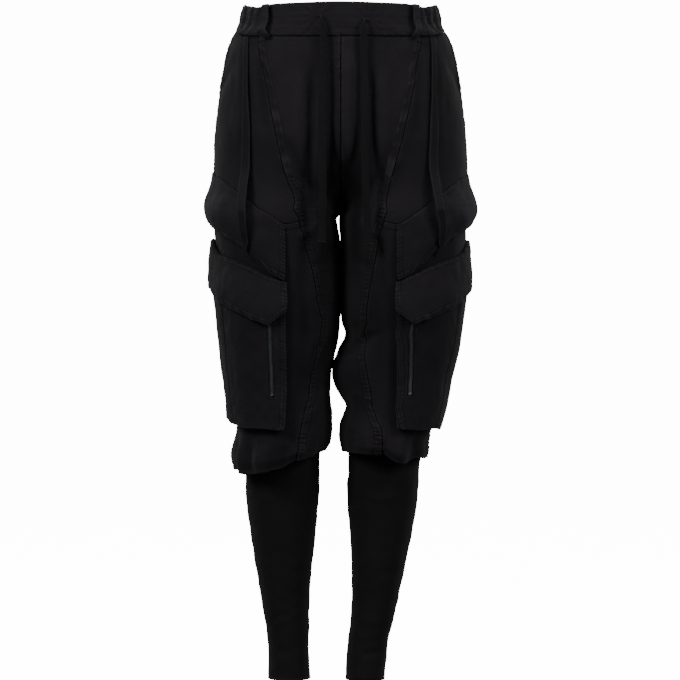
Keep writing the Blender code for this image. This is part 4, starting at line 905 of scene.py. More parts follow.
def knit_leg(side):
    """The jersey tube: soft rings of wrinkles, its hem cut raw and rolled a little."""
    heights = np.concatenate([np.arange(0, 340, 3.2) * MM, np.arange(340, 360, 1.2) * MM])
    top, hem = SHANK_TOP[side], SHANK_HEM[side]
    heights = np.unique(np.clip(np.append(top - heights, hem), hem, None))[::-1]
    z, u = np.meshgrid(heights, np.arange(KNIT_COLUMNS) / KNIT_COLUMNS, indexing="ij")
    spot = ring("shank", side, z, u)
    grid = np.stack([SIGN[side] * spot[..., 0], spot[..., 1], z], axis=-1)
    looped = np.concatenate([grid[:, -1:], grid, grid[:, :1]], axis=1)
    normals = unit(np.cross(tangents(looped, 0), tangents(looped, 1)) * SIGN[side])[:, 1:-1]
    soft = lumps(grid, (22 * MM, 22 * MM, 11 * MM), 6) * 0.7 + lumps(grid, 7 * MM, 7) * 0.15
    clear = ease(0, 26 * MM, top - z)
    height = soft * MM * clear + crease_relief(side, grid, normals) * clear
    above = z - hem
    height += (-0.35 * bump(above, 3.2 * MM, 0.9 * MM) + 0.35 * bump(above, 0, 1.4 * MM)
               + 0.5 * lumps(np.stack([u * 0.3, z], axis=-1), 9 * MM, 8)
               * bump(above, 0, 9 * MM)) * MM
    wear_and_shade = 0.30 * bump(above, 3.2 * MM, 1.4 * MM) + 0.25 * bump(above, 0, 1.3 * MM)
    outer = grid + normals * height[..., None]
    piece = shell(f"knit_leg_{side}", outer, outer - normals * KNIT, "jersey", wear_and_shade, True,
                  outward_flip(side))
    ride(piece, [f"knit_leg_{side}"])


# ---- the waistband

def waist_place(side, u, height, out):
    """Points of the waistband: u round the half, height above the waist seam."""
    u, height, out = np.broadcast_arrays(np.asarray(u, float), height, out)
    marks = np.array([COL_FRONT, COL_SEAM, COL_POCKET, COL_RIDGE, COL_SIDE, COL_HEEL, COL_BACK])
    col = np.interp(u, column_u(side, -30 * MM, marks), marks)
    z = level(side, "waist", col) + height
    spot = section(side, z, u)
    nearby = section(side, z, np.minimum(u + 0.01, 1)) - section(side, z, np.maximum(u - 0.01, 0))
    normal = unit(np.stack([nearby[..., 1], -nearby[..., 0]], axis=-1))
    normal *= np.where((normal * spot).sum(axis=-1) < 0, -1, 1)[..., None]
    middle = (u <= 1e-9) | (u >= 1 - 1e-9)
    normal[..., 0] = np.where(middle, 0, normal[..., 0])
    normal[..., 1] = np.where(middle, np.sign(spot[..., 1]), normal[..., 1])
    spot = spot + unit(normal) * out[..., None]
    return np.stack([SIGN[side] * spot[..., 0], spot[..., 1], z], axis=-1)


def band_points(side_u, height, out):
    """Waistband points for columns given as signed places: negative on the left half."""
    side_u, height, out = np.broadcast_arrays(side_u, height, out)
    left = waist_place("left", np.abs(side_u), height, out)
    right = waist_place("right", np.abs(side_u), height, out)
    return np.where((side_u < 0)[..., None], left, right)


def band_height(place):
    """The band's height at signed places, which is greatest at the centre front."""
    u = np.abs(place)
    front = at(BAND_HEIGHT, "height", section("left", 0, u)[..., 0])
    side = BAND_HEIGHT["height"][-1]
    back = BAND_BACK_HEIGHT + (side - BAND_BACK_HEIGHT) * ease(-0.6, -0.5, -u)
    return np.where(u > 0.5, back, front)


def band_piece(name, places, proud, ripple):
    """A stretch of waistband: two layers, rolled over at the top and the seam."""
    share, place = np.meshgrid(1 - steps_between(48 * MM, 2.4 * MM), places, indexing="ij")
    top = band_height(place)
    height = SEAM_GAP / 2 + (top + 0.5 * MM - SEAM_GAP / 2) * share
    step = np.broadcast_to(np.arange(len(places)), height.shape)
    lift = ripple(height / top, step / (len(places) - 1))
    roll = 1.1 * MM * (bump(top - height, 0, 1.6 * MM) + 0.5 * bump(height, 0, 1.4 * MM))
    outer = band_points(place, height, proud + lift - roll)
    inner = band_points(place, height, proud + lift - BAND_WALL + roll * 0.8)
    normals = unit(outer - inner)
    grid = band_points(place, height, proud + 0 * lift)
    # rubbed pale along the top fold, painted shade along the seam at the band's foot, and painted light
    # and shade following the ripples
    wear_and_shade = (0.22 * bump(top - height, 0, 2.2 * MM) - 1.1 * bump(height, 0.3 * MM, 1.5 * MM)
            + np.clip(0.34 * lift / MM - 0.04, -0.8, 0.3))
    for low in BAND_ROWS[name]:
        k = int(np.argmin(np.abs(share[:, 0] - low)))
        sew("topstitching_band", outer[k], normals[k])
        wear_and_shade[k] += 0.08
        # painted shade on the cloth beside each sewn row
        wear_and_shade[max(k - 1, 0)] -= 0.25
    piece = shell(name, outer, inner, "twill", wear_and_shade, False, False)
    ride(piece, [name])
    width, length, area = cut_of(grid)


BAND_ROWS = {"waistband_front": (0.045, 0.955), "waistband_elastic": (0.045, 0.33, 0.64, 0.955)}
FRONT_STEPS, ELASTIC_STEPS = 121, 30 * 11 + 1


def waistband():
    half = SEAM_GAP / 0.43
    places = np.linspace(-BAND_FRONT_U["left"], BAND_FRONT_U["right"], FRONT_STEPS)
    band_piece("waistband_front", places, BAND_PROUD, front_ripple)
    right = np.linspace(BAND_FRONT_U["right"] + half, 1, ELASTIC_STEPS)
    left = -np.linspace(1, BAND_FRONT_U["left"] + half, ELASTIC_STEPS)
    band_piece("waistband_elastic", np.concatenate([right[:-1], left]), ELASTIC_PROUD,
               elastic_ripple)


def front_ripple(height, share):
    """The flat front: puckers along its stitch rows and where the cords come out."""
    place = np.stack([share * 0.22, height * 0.05], axis=-1)
    puckers = lumps(place, (14 * MM, 9 * MM), 3) * 0.4 + lumps(place, (3.6 * MM, 8 * MM), 4) * (
        0.5 * (bump(height, 0.95, 0.09) + bump(height, 0.03, 0.13)) + 0.09)
    for line, deep in ((0.2, 0.35), (0.36, 0.3), (0.56, 0.42), (0.74, 0.3)):
        puckers = puckers - deep * bump(height + 0.02 * np.sin(share * 17 + 9 * line), line, 0.022)
    across = (share - 0.5) * 0.215 / MM
    for x, z in ((-29.5, 0.58), (34.5, 0.48)):
        near = np.hypot((across - x) / 13, (height - z) / 0.42)
        rays = np.cos(9 * np.arctan2(height - z, (across - x) / 50))
        puckers = puckers + 0.5 * rays * bump(near, 0.75, 0.5) - 0.5 * bump(near, 0, 0.45)
    return puckers * MM


def elastic_ripple(height, share):
    """Upright gathers that the elastic draws up, pinched along its sewn rows."""
    k = share * 2 * ELASTIC_GATHERS
    fade = ease(0, 2, k) * ease(0, 2, 2 * ELASTIC_GATHERS - k)
    waves = 0.62 * ELASTIC_DEPTH * np.cos(pi * k) * (0.7 + 0.3 * np.cos(2.2 * k))
    place = np.stack([k * 9 * MM, height * 0.05], axis=-1)
    waves = waves + lumps(place, (4.6 * MM, 26 * MM), 5) * 1.25 * MM
    waves += lumps(place, (2.6 * MM, 8 * MM), 6) * 0.6 * MM
    pinched = 1 - 0.55 * sum(bump(height, row, 0.036) for row in BAND_ROWS["waistband_elastic"])
    return waves * fade * pinched + 0.25 * MM * lumps(place, 12 * MM, 8)


def loop_place(side, face, x, height, out):
    """Points of a belt loop, which hangs straight down the band at x."""
    u = u_at_x(side, height - 28 * MM, x)
    return waist_place(side, u if face == "front" else 1 - u, height, out)


def belt_loop(name, side, face, x, base):
    """A folded strip sewn at the band's top and under its seam, bowed out between."""
    profile = np.array(LOOP_PROFILE, float)
    height = np.linspace(profile[0, 0], profile[-1, 0], 60)
    stand = blend(-profile[:, 0], profile[:, 1], -height)
    u = float(u_at_x(side, 0.0, x))
    u = u if face == "front" else 1 - u
    top = float(band_height(u))
    stretch = (top + LOOP_BELOW) / -LOOP_PROFILE[-1][0]
    centre = loop_place(side, face, x, top + height * stretch, base + stand * LOOP_STAND)
    ahead, behind = (waist_place(side, u + d, 0.0, base) for d in (0.02, -0.02))
    across = unit(ahead - behind)
    out = np.cross(np.broadcast_to(across, centre.shape), tangents(centre[None], 1)[0])
    out *= np.sign((out[20] * centre[20] * (1, 1, 0)).sum())
    out = unit(out)
    share = np.linspace(-0.5, 0.5, 17)
    crown = 0.45 * MM * np.cos(share * pi) - 0.3 * MM * (bump(np.abs(share), 0.36, 0.05))
    slack = lumps(np.stack([height[:, None] * MM + 0 * share, share * LOOP_WIDTH
                            + 0 * height[:, None]], axis=-1), 6 * MM, 12) * 0.3 * MM
    back = centre[:, None] + across * LOOP_WIDTH * share[None, :, None]
    front = back + out[:, None] * (LOOP_THICK + (crown + slack)[..., None] - 0.35 * MM)
    # a little paler, rubbed paler near its edges, also as painted highlight, and painted shade along its
    # two outer sides
    wear_and_shade = np.zeros(front.shape[:2]) + 0.12 + 0.3 * bump(
        np.abs(share), 0.36, 0.07) - 1.0 * bump(np.abs(share), 0.5, 0.05)
    facing = np.cross(tangents(front, 0), tangents(front, 1))
    flip = (facing * out[:, None]).sum() > 0
    piece = shell(name, front, back, "twill", wear_and_shade, False, bool(flip))
    ride(piece, [name])
    width, length = cut_of(front)[:2]
    for k in (2, 14):
        sew("topstitching_band", front[:, k], np.repeat(out, 1, 0), (1 * MM, 1 * MM))
    for end in (2, 57):
        bar_tack("topstitching_band", front[end, 2], front[end, 14], out[end])


def bar_tack(name, start, end, way):
    """Close zigzag sewing from start to end that locks a corner or an end."""
    length = np.linalg.norm(end - start)
    count = max(int(length / (0.55 * MM)), 4)
    along = unit(end - start)
    side_way = unit(np.cross(way, along))
    line = np.array([start + (end - start) * k / count + side_way * (0.75 * MM if k % 2 else -0.75 * MM)
                     + way * 0.25 * MM for k in range(count + 1)])
    TACKS.setdefault(name, []).append((line, np.repeat(way[None], count + 1, 0)))


TACKS = {}

FRONT_TACKS = (("left", (76, -242), (58, -253)), ("right", (63, -226), (75, -246)),
               ("left", (1.5, -36), (6, -37)), ("left", (1.5, -68), (6, -69)),
               ("left", (1.5, -82), (6, -83)), ("right", (2, -68), (6, -68)))


def front_tacks():
    """Short tacks on the front: at the low ends of the slanting seams and down the fly."""
    for side, *ends in FRONT_TACKS:
        x, z = np.array(ends, float).T * MM
        u = u_at_x(side, z, x)
        spots = [soft_section(side, z, u + step) for step in (0, 0.004, -0.004)]
        spot, ahead, behind = (np.stack([SIGN[side] * place[..., 0], place[..., 1], z], axis=-1)
                               for place in spots)
        ways = unit(np.cross(ahead - behind, (0, 0, 1.0)))
        ways *= -np.sign(ways[:, 1:2])
        spot = spot + ways * (cloth_relief(side, spot, ways) + 0.2 * MM)[:, None]
        bar_tack(f"topstitching_{side}", spot[0], spot[1], ways[0])


# ---- pockets, laid on the cloth

def laid_piece(name, side, row, col, out, thick, styles, seed, material="twill",
               amount=1.0, extra=None, sewn=True):
    """A piece that follows the cloth at a distance, its edges sewn and puckered."""
    grid = on_cloth(side, row, col, out)
    normals = grid_normals(grid, side)
    relief = (lumps(grid, (11 * MM, 11 * MM, 15 * MM), seed) * 0.75
              + lumps(grid, (24 * MM, 24 * MM, 38 * MM), seed + 1) * 1.25) * amount * MM
    relief += crease_relief(side, grid, normals)
    if extra is not None:
        relief += extra(grid)
    face = grid + normals * thick
    outer, wear_and_shade = dress(face, normals, styles, seed, relief, f"topstitching_{side}" if sewn else None)
    # painted shade: laid pieces a little darker, and darker still below z -0.30 m
    wear_and_shade -= 0.06 + 0.18 * ease(0.30, 0.36, -grid[..., 2])
    cloth_piece(f"{name}_{side}", grid, outer, thick, normals, material, wear_and_shade, side,
                [f"{name}_{side}"])


def pocket_tier(side):
    """The upper tier: hangs from the hip seam, puffed, its lower edge slanting."""
    share, col = np.meshgrid(steps_between(82 * MM, 1.5 * MM),
                             np.interp(steps_between(0.22, 3.2 * MM), (0, 1), TIER_COLS), indexing="ij")
    drop, puff, tuck = (at(TIER, name, col * MM) for name in ("drop", "puff", "tuck"))
    top = level(side, "hip", col) - 1.5 * MM
    out = (FOOT_STAND + (tuck - FOOT_STAND) * ease(0, 1, share)
           + (puff - tuck) * np.sin(pi * share ** TIER_SAG))
    row = row_at_z(side, top - drop * share, col)
    laid_piece("pocket_tier", side, row, col, out, FOLDED,
               {"front": "double", "top": "stitched", "low": "double"}, 31, amount=1.2)


def side_stand(col):
    return at(POCKET_SIDE, "stand", np.asarray(col, float) * MM)


def filled(down):
    """The pocket's mouth lies closer to the leg than the rest of it."""
    return 0.62 + 0.38 * ease(0, 0.13, down)


def face_spot(side, across, down):
    """A spot of the pocket face: across 0 front edge to 1 ridge, down 0 to 1."""
    across, down = np.broadcast_arrays(np.asarray(across, float), np.asarray(down, float))
    into = np.clip(FACE_CORNER - (1 - down) * FACE_HEIGHT, 0, FACE_CORNER)
    shift = (FACE_CORNER - np.sqrt(FACE_CORNER ** 2 - into ** 2)) / FACE_WIDTH
    across = shift + (1 - shift) * across
    col = COL_POCKET + (COL_RIDGE - COL_POCKET) * across
    top = row_z(side, FACE_TOP_ROW, col)
    low = level(side, "base", col) + 1.0 * MM
    return row_at_z(side, top + (low - top) * down, col), col


def on_face(side, across, down, out):
    row, col = face_spot(side, across, down)
    return on_cloth(side, row, col, FACE_STAND * filled(down) + WOVEN + np.asarray(out, float) + 0 * row)


def zip_window(side):
    """The face's slit for the zip: its lips stand up and the zip lies between them."""
    def relief(grid):
        line = on_face(side, ZIP_ACROSS, np.linspace(0, 1, 60), 0)
        apart = np.abs(grid[..., 0] - np.interp(-grid[..., 2], -line[:, 2], line[:, 0])) / MM
        along = FACE_PLACES[side]
        beside = (ease(ZIP_DOWN[0] - 0.03, ZIP_DOWN[0], along)
                  * (1 - ease(ZIP_DOWN[1], ZIP_DOWN[1] + 0.02, along)))
        lips = 0.75 * bump(apart, 5.0, 1.3) - 1.0 * (1 - ease(2.6, 4.2, apart))
        rows = -0.3 * bump(apart, 8.0, 0.8)
        return (lips + rows) * beside * MM
    return relief


FACE_PLACES = {}


def pocket_face(side):
    down, across = np.meshgrid(steps_between(FACE_HEIGHT, 1.7 * MM, (False, True)), np.unique(
        np.concatenate([steps_between(FACE_WIDTH, 3.0 * MM),
                        ZIP_ACROSS + np.linspace(-10, 10, 17) * MM / FACE_WIDTH])), indexing="ij")
    row, col = face_spot(side, across, down)
    FACE_PLACES[side] = down
    laid_piece(
        "pocket_face", side, row, col, FACE_STAND * filled(down), WOVEN,
        {"front": "double", "back": "ridge", "low": "stitched"}, 41, amount=0.9,
        extra=zip_window(side))
    share = np.linspace(ZIP_DOWN[0], ZIP_DOWN[1] + 0.02, 60)
    for offset in (-8.0, 8.0):
        line = on_face(side, ZIP_ACROSS + offset * MM / FACE_WIDTH, share, 0.1 * MM)
        ways = unit(line - on_face(side, ZIP_ACROSS + offset * MM / FACE_WIDTH, share, -2 * MM))
        sew(f"topstitching_{side}", line, ways)
    ends = [on_face(side, ZIP_ACROSS + k * MM / FACE_WIDTH, ZIP_DOWN[1] + 0.012, 0.6 * MM)
            for k in (-7, 7)]
    bar_tack(f"topstitching_{side}", ends[0], ends[1], unit(
        on_face(side, ZIP_ACROSS, 0.7, 1 * MM) - on_face(side, ZIP_ACROSS, 0.7, 0.0)))


def pocket_side(side):
    """The pocket's outer side, from the ridge round the side seam on to the back."""
    down, col = np.meshgrid(steps_between(FACE_HEIGHT, 2.8 * MM, (False, True)),
                            COL_RIDGE + (HEEL_COL - COL_RIDGE) * steps_between(0.09, 2.8 * MM),
                            indexing="ij")
    top, low = row_z(side, FACE_TOP_ROW, col), level(side, "base", col) + 1.0 * MM
    row = row_at_z(side, top + (low - top) * down, col)
    laid_piece("pocket_side", side, row, col, side_stand(col) * filled(down), WOVEN,
               {"front": "plain", "back": "stitched", "low": "stitched"}, 51, amount=1.0)


def pocket_gusset(side):
    """The strip that joins the pocket to the leg, down its front edge and along its base."""
    downs = np.concatenate([np.linspace(0, 0.94, 60), np.linspace(0.945, 1, 14)])
    row, col = face_spot(side, 0.0, downs)
    out = FACE_STAND * filled(downs)
    row_low, col_low = face_spot(side, np.linspace(0, 1, 40)[1:-1], 1.0)
    col_side = np.linspace(COL_RIDGE, 17.6, 30)
    row_side = row_at_z(side, level(side, "base", col_side) + 1.0 * MM, col_side)
    row = np.concatenate([row, row_low, row_side])
    col = np.concatenate([col, col_low, col_side])
    out = np.concatenate([out, np.full(row_low.shape, FACE_STAND), side_stand(col_side)])
    share = np.linspace(1, 0, 9)[:, None]
    outer = on_cloth(side, row[None] + 0 * share, col[None] + 0 * share,
                     GUSSET_FOOT + (out - GUSSET_GAP - GUSSET_FOOT) * share)
    along = tangents(outer[4][None], 1)[0]
    inward = unit(np.cross(along, unit(outer[0] - outer[-1])))
    middle = on_cloth(side, 19.0, 11.5)
    inward *= np.sign(((middle - outer[4]) * inward).sum(axis=1).mean())
    sink = 0.9 * MM * np.sin(pi * share[..., None]) * (1 + lumps(outer, 15 * MM, 61)[..., None])
    face = outer + inward * sink
    facing = (np.cross(tangents(face, 0), tangents(face, 1)) * inward).sum()
    name = f"pocket_gusset_{side}"
    cloth_piece(name, outer, face, WOVEN, -np.broadcast_to(inward, face.shape), "twill",
                np.zeros(face.shape[:2]), side, [name],
                flip=bool(facing < 0))


def pocket_flap(side):
    """Sewn along the flap line, over the pocket, its corners clipped."""
    cols = np.array(FLAP_COLS)
    fine = np.unique(np.concatenate([
        cols, np.linspace(cols[0], cols[-1], 74),
        cols[0] + EDGE_STEPS / (16 * MM), cols[-1] - EDGE_STEPS / (16 * MM)]))
    share, col = np.meshgrid(steps_between(62 * MM, 1.6 * MM), fine, indexing="ij")
    corner_drops = [at(FLAP, "drop", c * MM) for c in cols]
    drop = np.interp(col, cols, corner_drops)
    stand = at(FLAP, "stand", col * MM)
    out = FOOT_STAND + (stand - FOOT_STAND) * ease(-0.35, 0.9, share) * ease(-0.03, 0.07, share)
    row = row_at_z(side, level(side, "flap", col) - 2 * MM - drop * share, col)
    # the tucked top edge lays a wide painted shadow on the flap under the tier
    laid_piece("pocket_flap", side, row, col, out, FOLDED,
               {"front": "double", "back": "double", "top": "tucked", "low": "double"}, 71,
               amount=1.1)


# ---- zips

def block(centre, axes, half, taper=0.8):
    """Eight corners of a small block, narrower on its outer face, and its faces."""
    corners = [centre + axes[0] * half[0] * a * (taper if c > 0 else 1)
               + axes[1] * half[1] * b * (taper if c > 0 else 1) + axes[2] * half[2] * c
               for c in (-1, 1) for b in (-1, 1) for a in (-1, 1)]
    faces = [(0, 2, 3, 1), (4, 5, 7, 6), (0, 1, 5, 4), (1, 3, 7, 5), (3, 2, 6, 7), (2, 0, 4, 6)]
    return corners, faces


def joined(name, parts, material, smooth=False):
    vertices, faces = [], []
    for corners, own in parts:
        faces += [tuple(k + len(vertices) for k in face) for face in own]
        vertices += list(corners)
    return mesh_piece(name, vertices, faces, material, smooth=smooth)


def zip_axes(side, down):
    here = on_face(side, ZIP_ACROSS, down, 0.0)
    along = unit(on_face(side, ZIP_ACROSS, down + 0.01, 0.0) - here)
    out = unit(on_face(side, ZIP_ACROSS, down, 2 * MM) - here)
    return here, unit(np.cross(out, along)), along, out


def pocket_zip(side):
    """Tape, a chain of teeth that mesh, the bottom stop, and the slider at rest at the top."""
    top, low = ZIP_DOWN
    parts = []
    count = int(round((low - top) * FACE_HEIGHT / (1.15 * MM)))
    for k in range(count):
        here, across, along, out = zip_axes(side, top + (low - top) * (k + 0.5) / count)
        hand = 1 if k % 2 else -1
        parts.append(block(here + across * hand * 1.05 * MM + out * 1.15 * MM,
                           (across, along, out), (1.55 * MM, 0.42 * MM, 0.6 * MM)))
    teeth = joined(f"zip_teeth_{side}", parts, "zip_metal")
    ride(teeth, [f"pocket_zip_{side}"])
    down, wide = np.meshgrid(np.linspace(top, low, 90), np.linspace(-1, 1, 9), indexing="ij")
    tape = on_face(side, ZIP_ACROSS + wide * 4.2 * MM / FACE_WIDTH, down, -0.15 * MM)
    normals = grid_normals(tape, side)
    face = tape + normals * 0.5 * MM
    cloth_piece(f"zip_tape_{side}", tape, face, 0.5 * MM, normals, "tape", None, side, [])
    here, across, along, out = zip_axes(side, low - 0.010)
    stop = [block(here + out * 1.7 * MM, (across, along, out), (2.5 * MM, 1.6 * MM, 0.9 * MM), 0.75)]
    ride(joined(f"zip_stop_{side}", stop, "zip_bright"), [f"zip_stop_{side}"])
    parts = []
    here, across, along, out = zip_axes(side, top + 0.035)
    base = here + out * 2.1 * MM
    parts.append(block(base, (across, along, out), (4.0 * MM, 4.6 * MM, 0.8 * MM), 0.82))
    parts.append(block(base + out * 1.3 * MM - along * 0.6 * MM, (across, along, out),
                       (1.1 * MM, 3.0 * MM, 0.7 * MM), 0.7))
    ride(joined(f"zip_slider_{side}", parts, "zip_dark"), [f"zip_slider_{side}"])


# ---- ties and cords

def side_strap(side):
    """A flat tie from under the waist seam, hanging over the yoke and the tier to its point."""
    z, share = np.meshgrid(np.linspace(-33, -352, 150) * MM, np.linspace(-0.5, 0.5, 9), indexing="ij")
    x, stand, width = (at(STRAP[side], name, z) for name in ("x", "out", "width"))
    u = u_at_x(side, z, x)
    spot = section(side, z, u)
    near = unit(section(side, z, u + 0.01) - spot)
    normal = np.stack([near[..., 1], -near[..., 0]], axis=-1)
    normal *= np.sign(normal[..., :1] - normal[..., 1:])
    spot = spot + normal * stand[..., None] + near * (width * share)[..., None]
    grid = np.stack([SIGN[side] * spot[..., 0], spot[..., 1], z], axis=-1)
    out = np.stack([SIGN[side] * normal[..., 0], normal[..., 1], 0 * z], axis=-1)
    crown = (0.25 * bump(share, 0, 0.3) - 0.25 * bump(np.abs(share), 0.38, 0.05)
             + 0.3 * lumps(grid, (9 * MM, 9 * MM, 14 * MM), 81)) * MM
    face = grid + out * (STRAP_THICK + crown)[..., None]
    wear_and_shade = 0.3 * bump(np.abs(share), 0.5, 0.07) + 0 * z
    name = f"side_strap_{side}"
    cloth_piece(name, grid, face, STRAP_THICK, out, "tape", wear_and_shade, side, [name])
    for k in (1, 7):
        sew(f"topstitching_{side}", face[:, k], out[:, k])


def smooth_route(points, step):
    """Evenly spaced points of one smooth curve through the route's own points."""
    points = np.array(points, float) * MM
    reach = np.concatenate([[0], np.cumsum(np.linalg.norm(np.diff(points, axis=0), axis=1))])
    places = np.linspace(0, reach[-1], int(reach[-1] / step) + 2)
    return np.stack([blend(reach, points[:, axis], places) for axis in range(3)], axis=-1)


def drawcord(side):
    """A flat woven cord, from its buttonhole to its bare end."""
    path = smooth_route(CORD_ROUTE[side], 3 * MM)
    along = tangents(path[None], 1)[0]
    across = unit(np.array([1.0, 0, 0]) - along * along[:, :1])
    out = unit(np.cross(across, along))
    turn = np.arange(16) * 2 * pi / 16
    reach = arc(path[None], 1)[0]
    loose = (1 + 0.07 * lumps(np.stack([reach, reach * 0], axis=-1), 19 * MM, 4)) * (
        0.30 + 0.70 * ease(0, 40 * MM, reach))
    wide = flat_power(np.cos(turn), 3.2)[None] * CORD_WIDTH / 2 * loose[:, None]
    deep = flat_power(np.sin(turn), 2.4)[None] * CORD_THICK / 2 * (1 - 0.12 * bump(np.cos(turn), 0, 0.3))
    curl = np.sin(reach / (46 * MM) + (0 if side == "left" else 2)) * 0.22
    across = unit(across + out * curl[:, None])
    out = unit(np.cross(across, along))
    tube = path[:, None] + across[:, None] * wide[..., None] + out[:, None] * deep[..., None]
    rows, cols = tube.shape[:2]
    faces = [(r * cols + k, r * cols + (k + 1) % cols, (r + 1) * cols + (k + 1) % cols,
              (r + 1) * cols + k) for r in range(rows - 1) for k in range(cols)]
    ends = [path[0], path[-1] + along[-1] * 0.8 * MM]
    count = rows * cols
    faces += [((k + 1) % cols, k, count) for k in range(cols)]
    faces += [(count - cols + k, count - cols + (k + 1) % cols, count + 1) for k in range(cols)]
    places = np.stack([np.broadcast_to(turn / (2 * pi) * 24 * MM, (rows, cols)),
                       np.broadcast_to(reach[:, None], (rows, cols))], axis=-1).reshape(-1, 2)
    wear_and_shade = np.zeros((rows, cols)) + 0.12 * bump(np.abs(np.cos(turn)), 1, 0.1)
    wear_and_shade[-2:] += 0.3
    piece = mesh_piece(f"drawcord_{side}", np.concatenate([tube.reshape(-1, 3), ends]), faces,
                       "cord", np.append(wear_and_shade.ravel(), (0, 0.4)),
                       np.concatenate([places, places[:1], places[-1:]]))
    ride(piece, [f"drawcord_{side}"])
    buttonhole(side, path)


def buttonhole(side, path):
    """The sewn slit that the cord comes out of."""
    x, z = path[0][0], path[0][2]
    places = np.linspace(0, 1, 400) * BAND_FRONT_U[side]
    heights = z - level(side, "waist", 0.5)
    front = waist_place(side, places, heights, BAND_PROUD)
    k = int(np.argmin(np.abs(front[:, 0] - x)))
    centre, way = front[k], np.array([0, -1.0, 0])
    for n in range(34):
        angle = 2 * pi * n / 34
        rim = np.array([4.6 * MM * np.cos(angle), 0, 1.7 * MM * np.sin(angle)])
        out = unit(np.array([np.cos(angle) * 0.6, 0, np.sin(angle)]))
        line = np.array([centre + rim * 0.86 + way * 0.4 * MM,
                         centre + rim + out * 0.6 * MM + way * 0.4 * MM,
                         centre + rim + out * 1.2 * MM + way * 0.2 * MM])
        TACKS.setdefault("topstitching_band", []).append((line, np.repeat(way[None], 3, 0)))


# ---- sewing

def grains(lines, pitch, length, radius):
    """Stitches along lines: each a short grain of thread, half sunk in the cloth."""
    corners, faces = [], []
    for line, ways in lines:
        reach = arc(line[None], 1)[0]
        places = np.arange(pitch * 0.5, reach[-1], pitch)
        for gone in places:
            k = min(max(int(np.searchsorted(reach, gone)) - 1, 0), len(reach) - 2)
            t = (gone - reach[k]) / max(reach[k + 1] - reach[k], 1e-9)
            spot = line[k] + (line[k + 1] - line[k]) * t
            along, out = unit(line[k + 1] - line[k]), unit(ways[k] + (ways[k + 1] - ways[k]) * t)
            add_grain(corners, faces, spot, along, out, length, radius)
    return corners, faces


def add_grain(corners, faces, spot, along, out, length, radius):
    across = np.cross(along, out)
    start = len(corners)
    for end in (-0.36, 0.36):
        for a, b in ((1, 0), (0, 1), (-1, 0), (0, -1)):
            corners.append(spot + along * length * end + (across * a + out * (b + 0.35)) * radius)
    corners += [spot - along * length / 2 - out * radius * 0.3,
                spot + along * length / 2 - out * radius * 0.3]
    for k in range(4):
        a, b = start + k, start + (k + 1) % 4
        faces.extend([(a, b, b + 4, a + 4), (b, a, start + 8), (a + 4, b + 4, start + 9)])


def sewing():
    """All the stitches and bar tacks, a piece for each leg and one for the band."""
    for name in sorted(set(STITCHES) | set(TACKS)):
        corners, faces = grains(STITCHES.get(name, []), 3.4 * MM, 2.6 * MM, 0.34 * MM)
        for line, ways in TACKS.get(name, []):
            for a, b, way in zip(line[:-1], line[1:], ways):
                add_grain(corners, faces, (a + b) / 2, unit(b - a), unit(way),
                          np.linalg.norm(b - a) * 1.15, 0.3 * MM)
        ride(mesh_piece(name, corners, faces, "thread"), [])


# ---- finishes

def new_group(name, inputs, outputs):
    """A shader node group with named inputs, each (name, kind, value), and outputs."""
    made = bpy.data.node_groups.new(name, "ShaderNodeTree")
    for label, kind, value in inputs:
        socket = made.interface.new_socket(label, in_out="INPUT", socket_type=kind)
        if value is not None:
            socket.default_value = value
    for label, kind in outputs:
        made.interface.new_socket(label, in_out="OUTPUT", socket_type=kind)
    return made, made.nodes.new("NodeGroupInput"), made.nodes.new("NodeGroupOutput")


def node(tree, kind, links=(), **values):
    """A node with its properties set; a value that names an input goes on the input."""
    made = tree.nodes.new(kind)
    for key, value in values.items():
        if hasattr(made, key):
            setattr(made, key, value)
    for target, source in links:
        if isinstance(source, bpy.types.NodeSocket):
            tree.links.new(source, made.inputs[target])
        else:
            made.inputs[target].default_value = source
    return made


def maths(tree, operation, *sources):
    return node(tree, "ShaderNodeMath", list(enumerate(sources)), operation=operation).outputs[0]


def weave_group():
    """Slanting ribs of a weave from the cloth's own places, and a little yarn unevenness."""
    tree, start, end = new_group(
        "weave", [("Place", "NodeSocketVector", None), ("Pitch", "NodeSocketFloat", 0.001),
                  ("Slant", "NodeSocketFloat", 1.1), ("Slub", "NodeSocketFloat", 0.3)],
        [("Height", "NodeSocketFloat"), ("Yarn", "NodeSocketFloat")])
    parts = node(tree, "ShaderNodeSeparateXYZ", [(0, start.outputs["Place"])])
    turned_y = maths(tree, "MULTIPLY", parts.outputs[1], start.outputs["Slant"])
    phase = maths(tree, "DIVIDE", maths(tree, "ADD", parts.outputs[0], turned_y),
                  start.outputs["Pitch"])
    uneven = node(tree, "ShaderNodeTexNoise", [("Vector", start.outputs["Place"]), ("Scale", 420.0),
                                              ("Detail", 2.0)])
    phase = maths(tree, "ADD", phase, maths(tree, "MULTIPLY", uneven.outputs[0], 0.9))
    rib = maths(tree, "SINE", maths(tree, "MULTIPLY", phase, 2 * pi))
    cross = maths(tree, "SINE", maths(tree, "MULTIPLY", maths(
        tree, "DIVIDE", parts.outputs[1], start.outputs["Pitch"]), 2 * pi * 1.7))
    yarn = maths(tree, "ADD", maths(tree, "MULTIPLY", rib, 0.35), maths(
        tree, "MULTIPLY", cross, 0.12))
    slub = maths(tree, "MULTIPLY", maths(tree, "SUBTRACT", uneven.outputs[0], 0.5),
                 start.outputs["Slub"])
    height = maths(tree, "ADD", maths(tree, "ADD", yarn, 0.5), slub)
    tree.links.new(height, end.inputs["Height"])
    tree.links.new(maths(tree, "ADD", maths(tree, "MULTIPLY", yarn, 0.5), 0.5), end.inputs["Yarn"])
    return tree


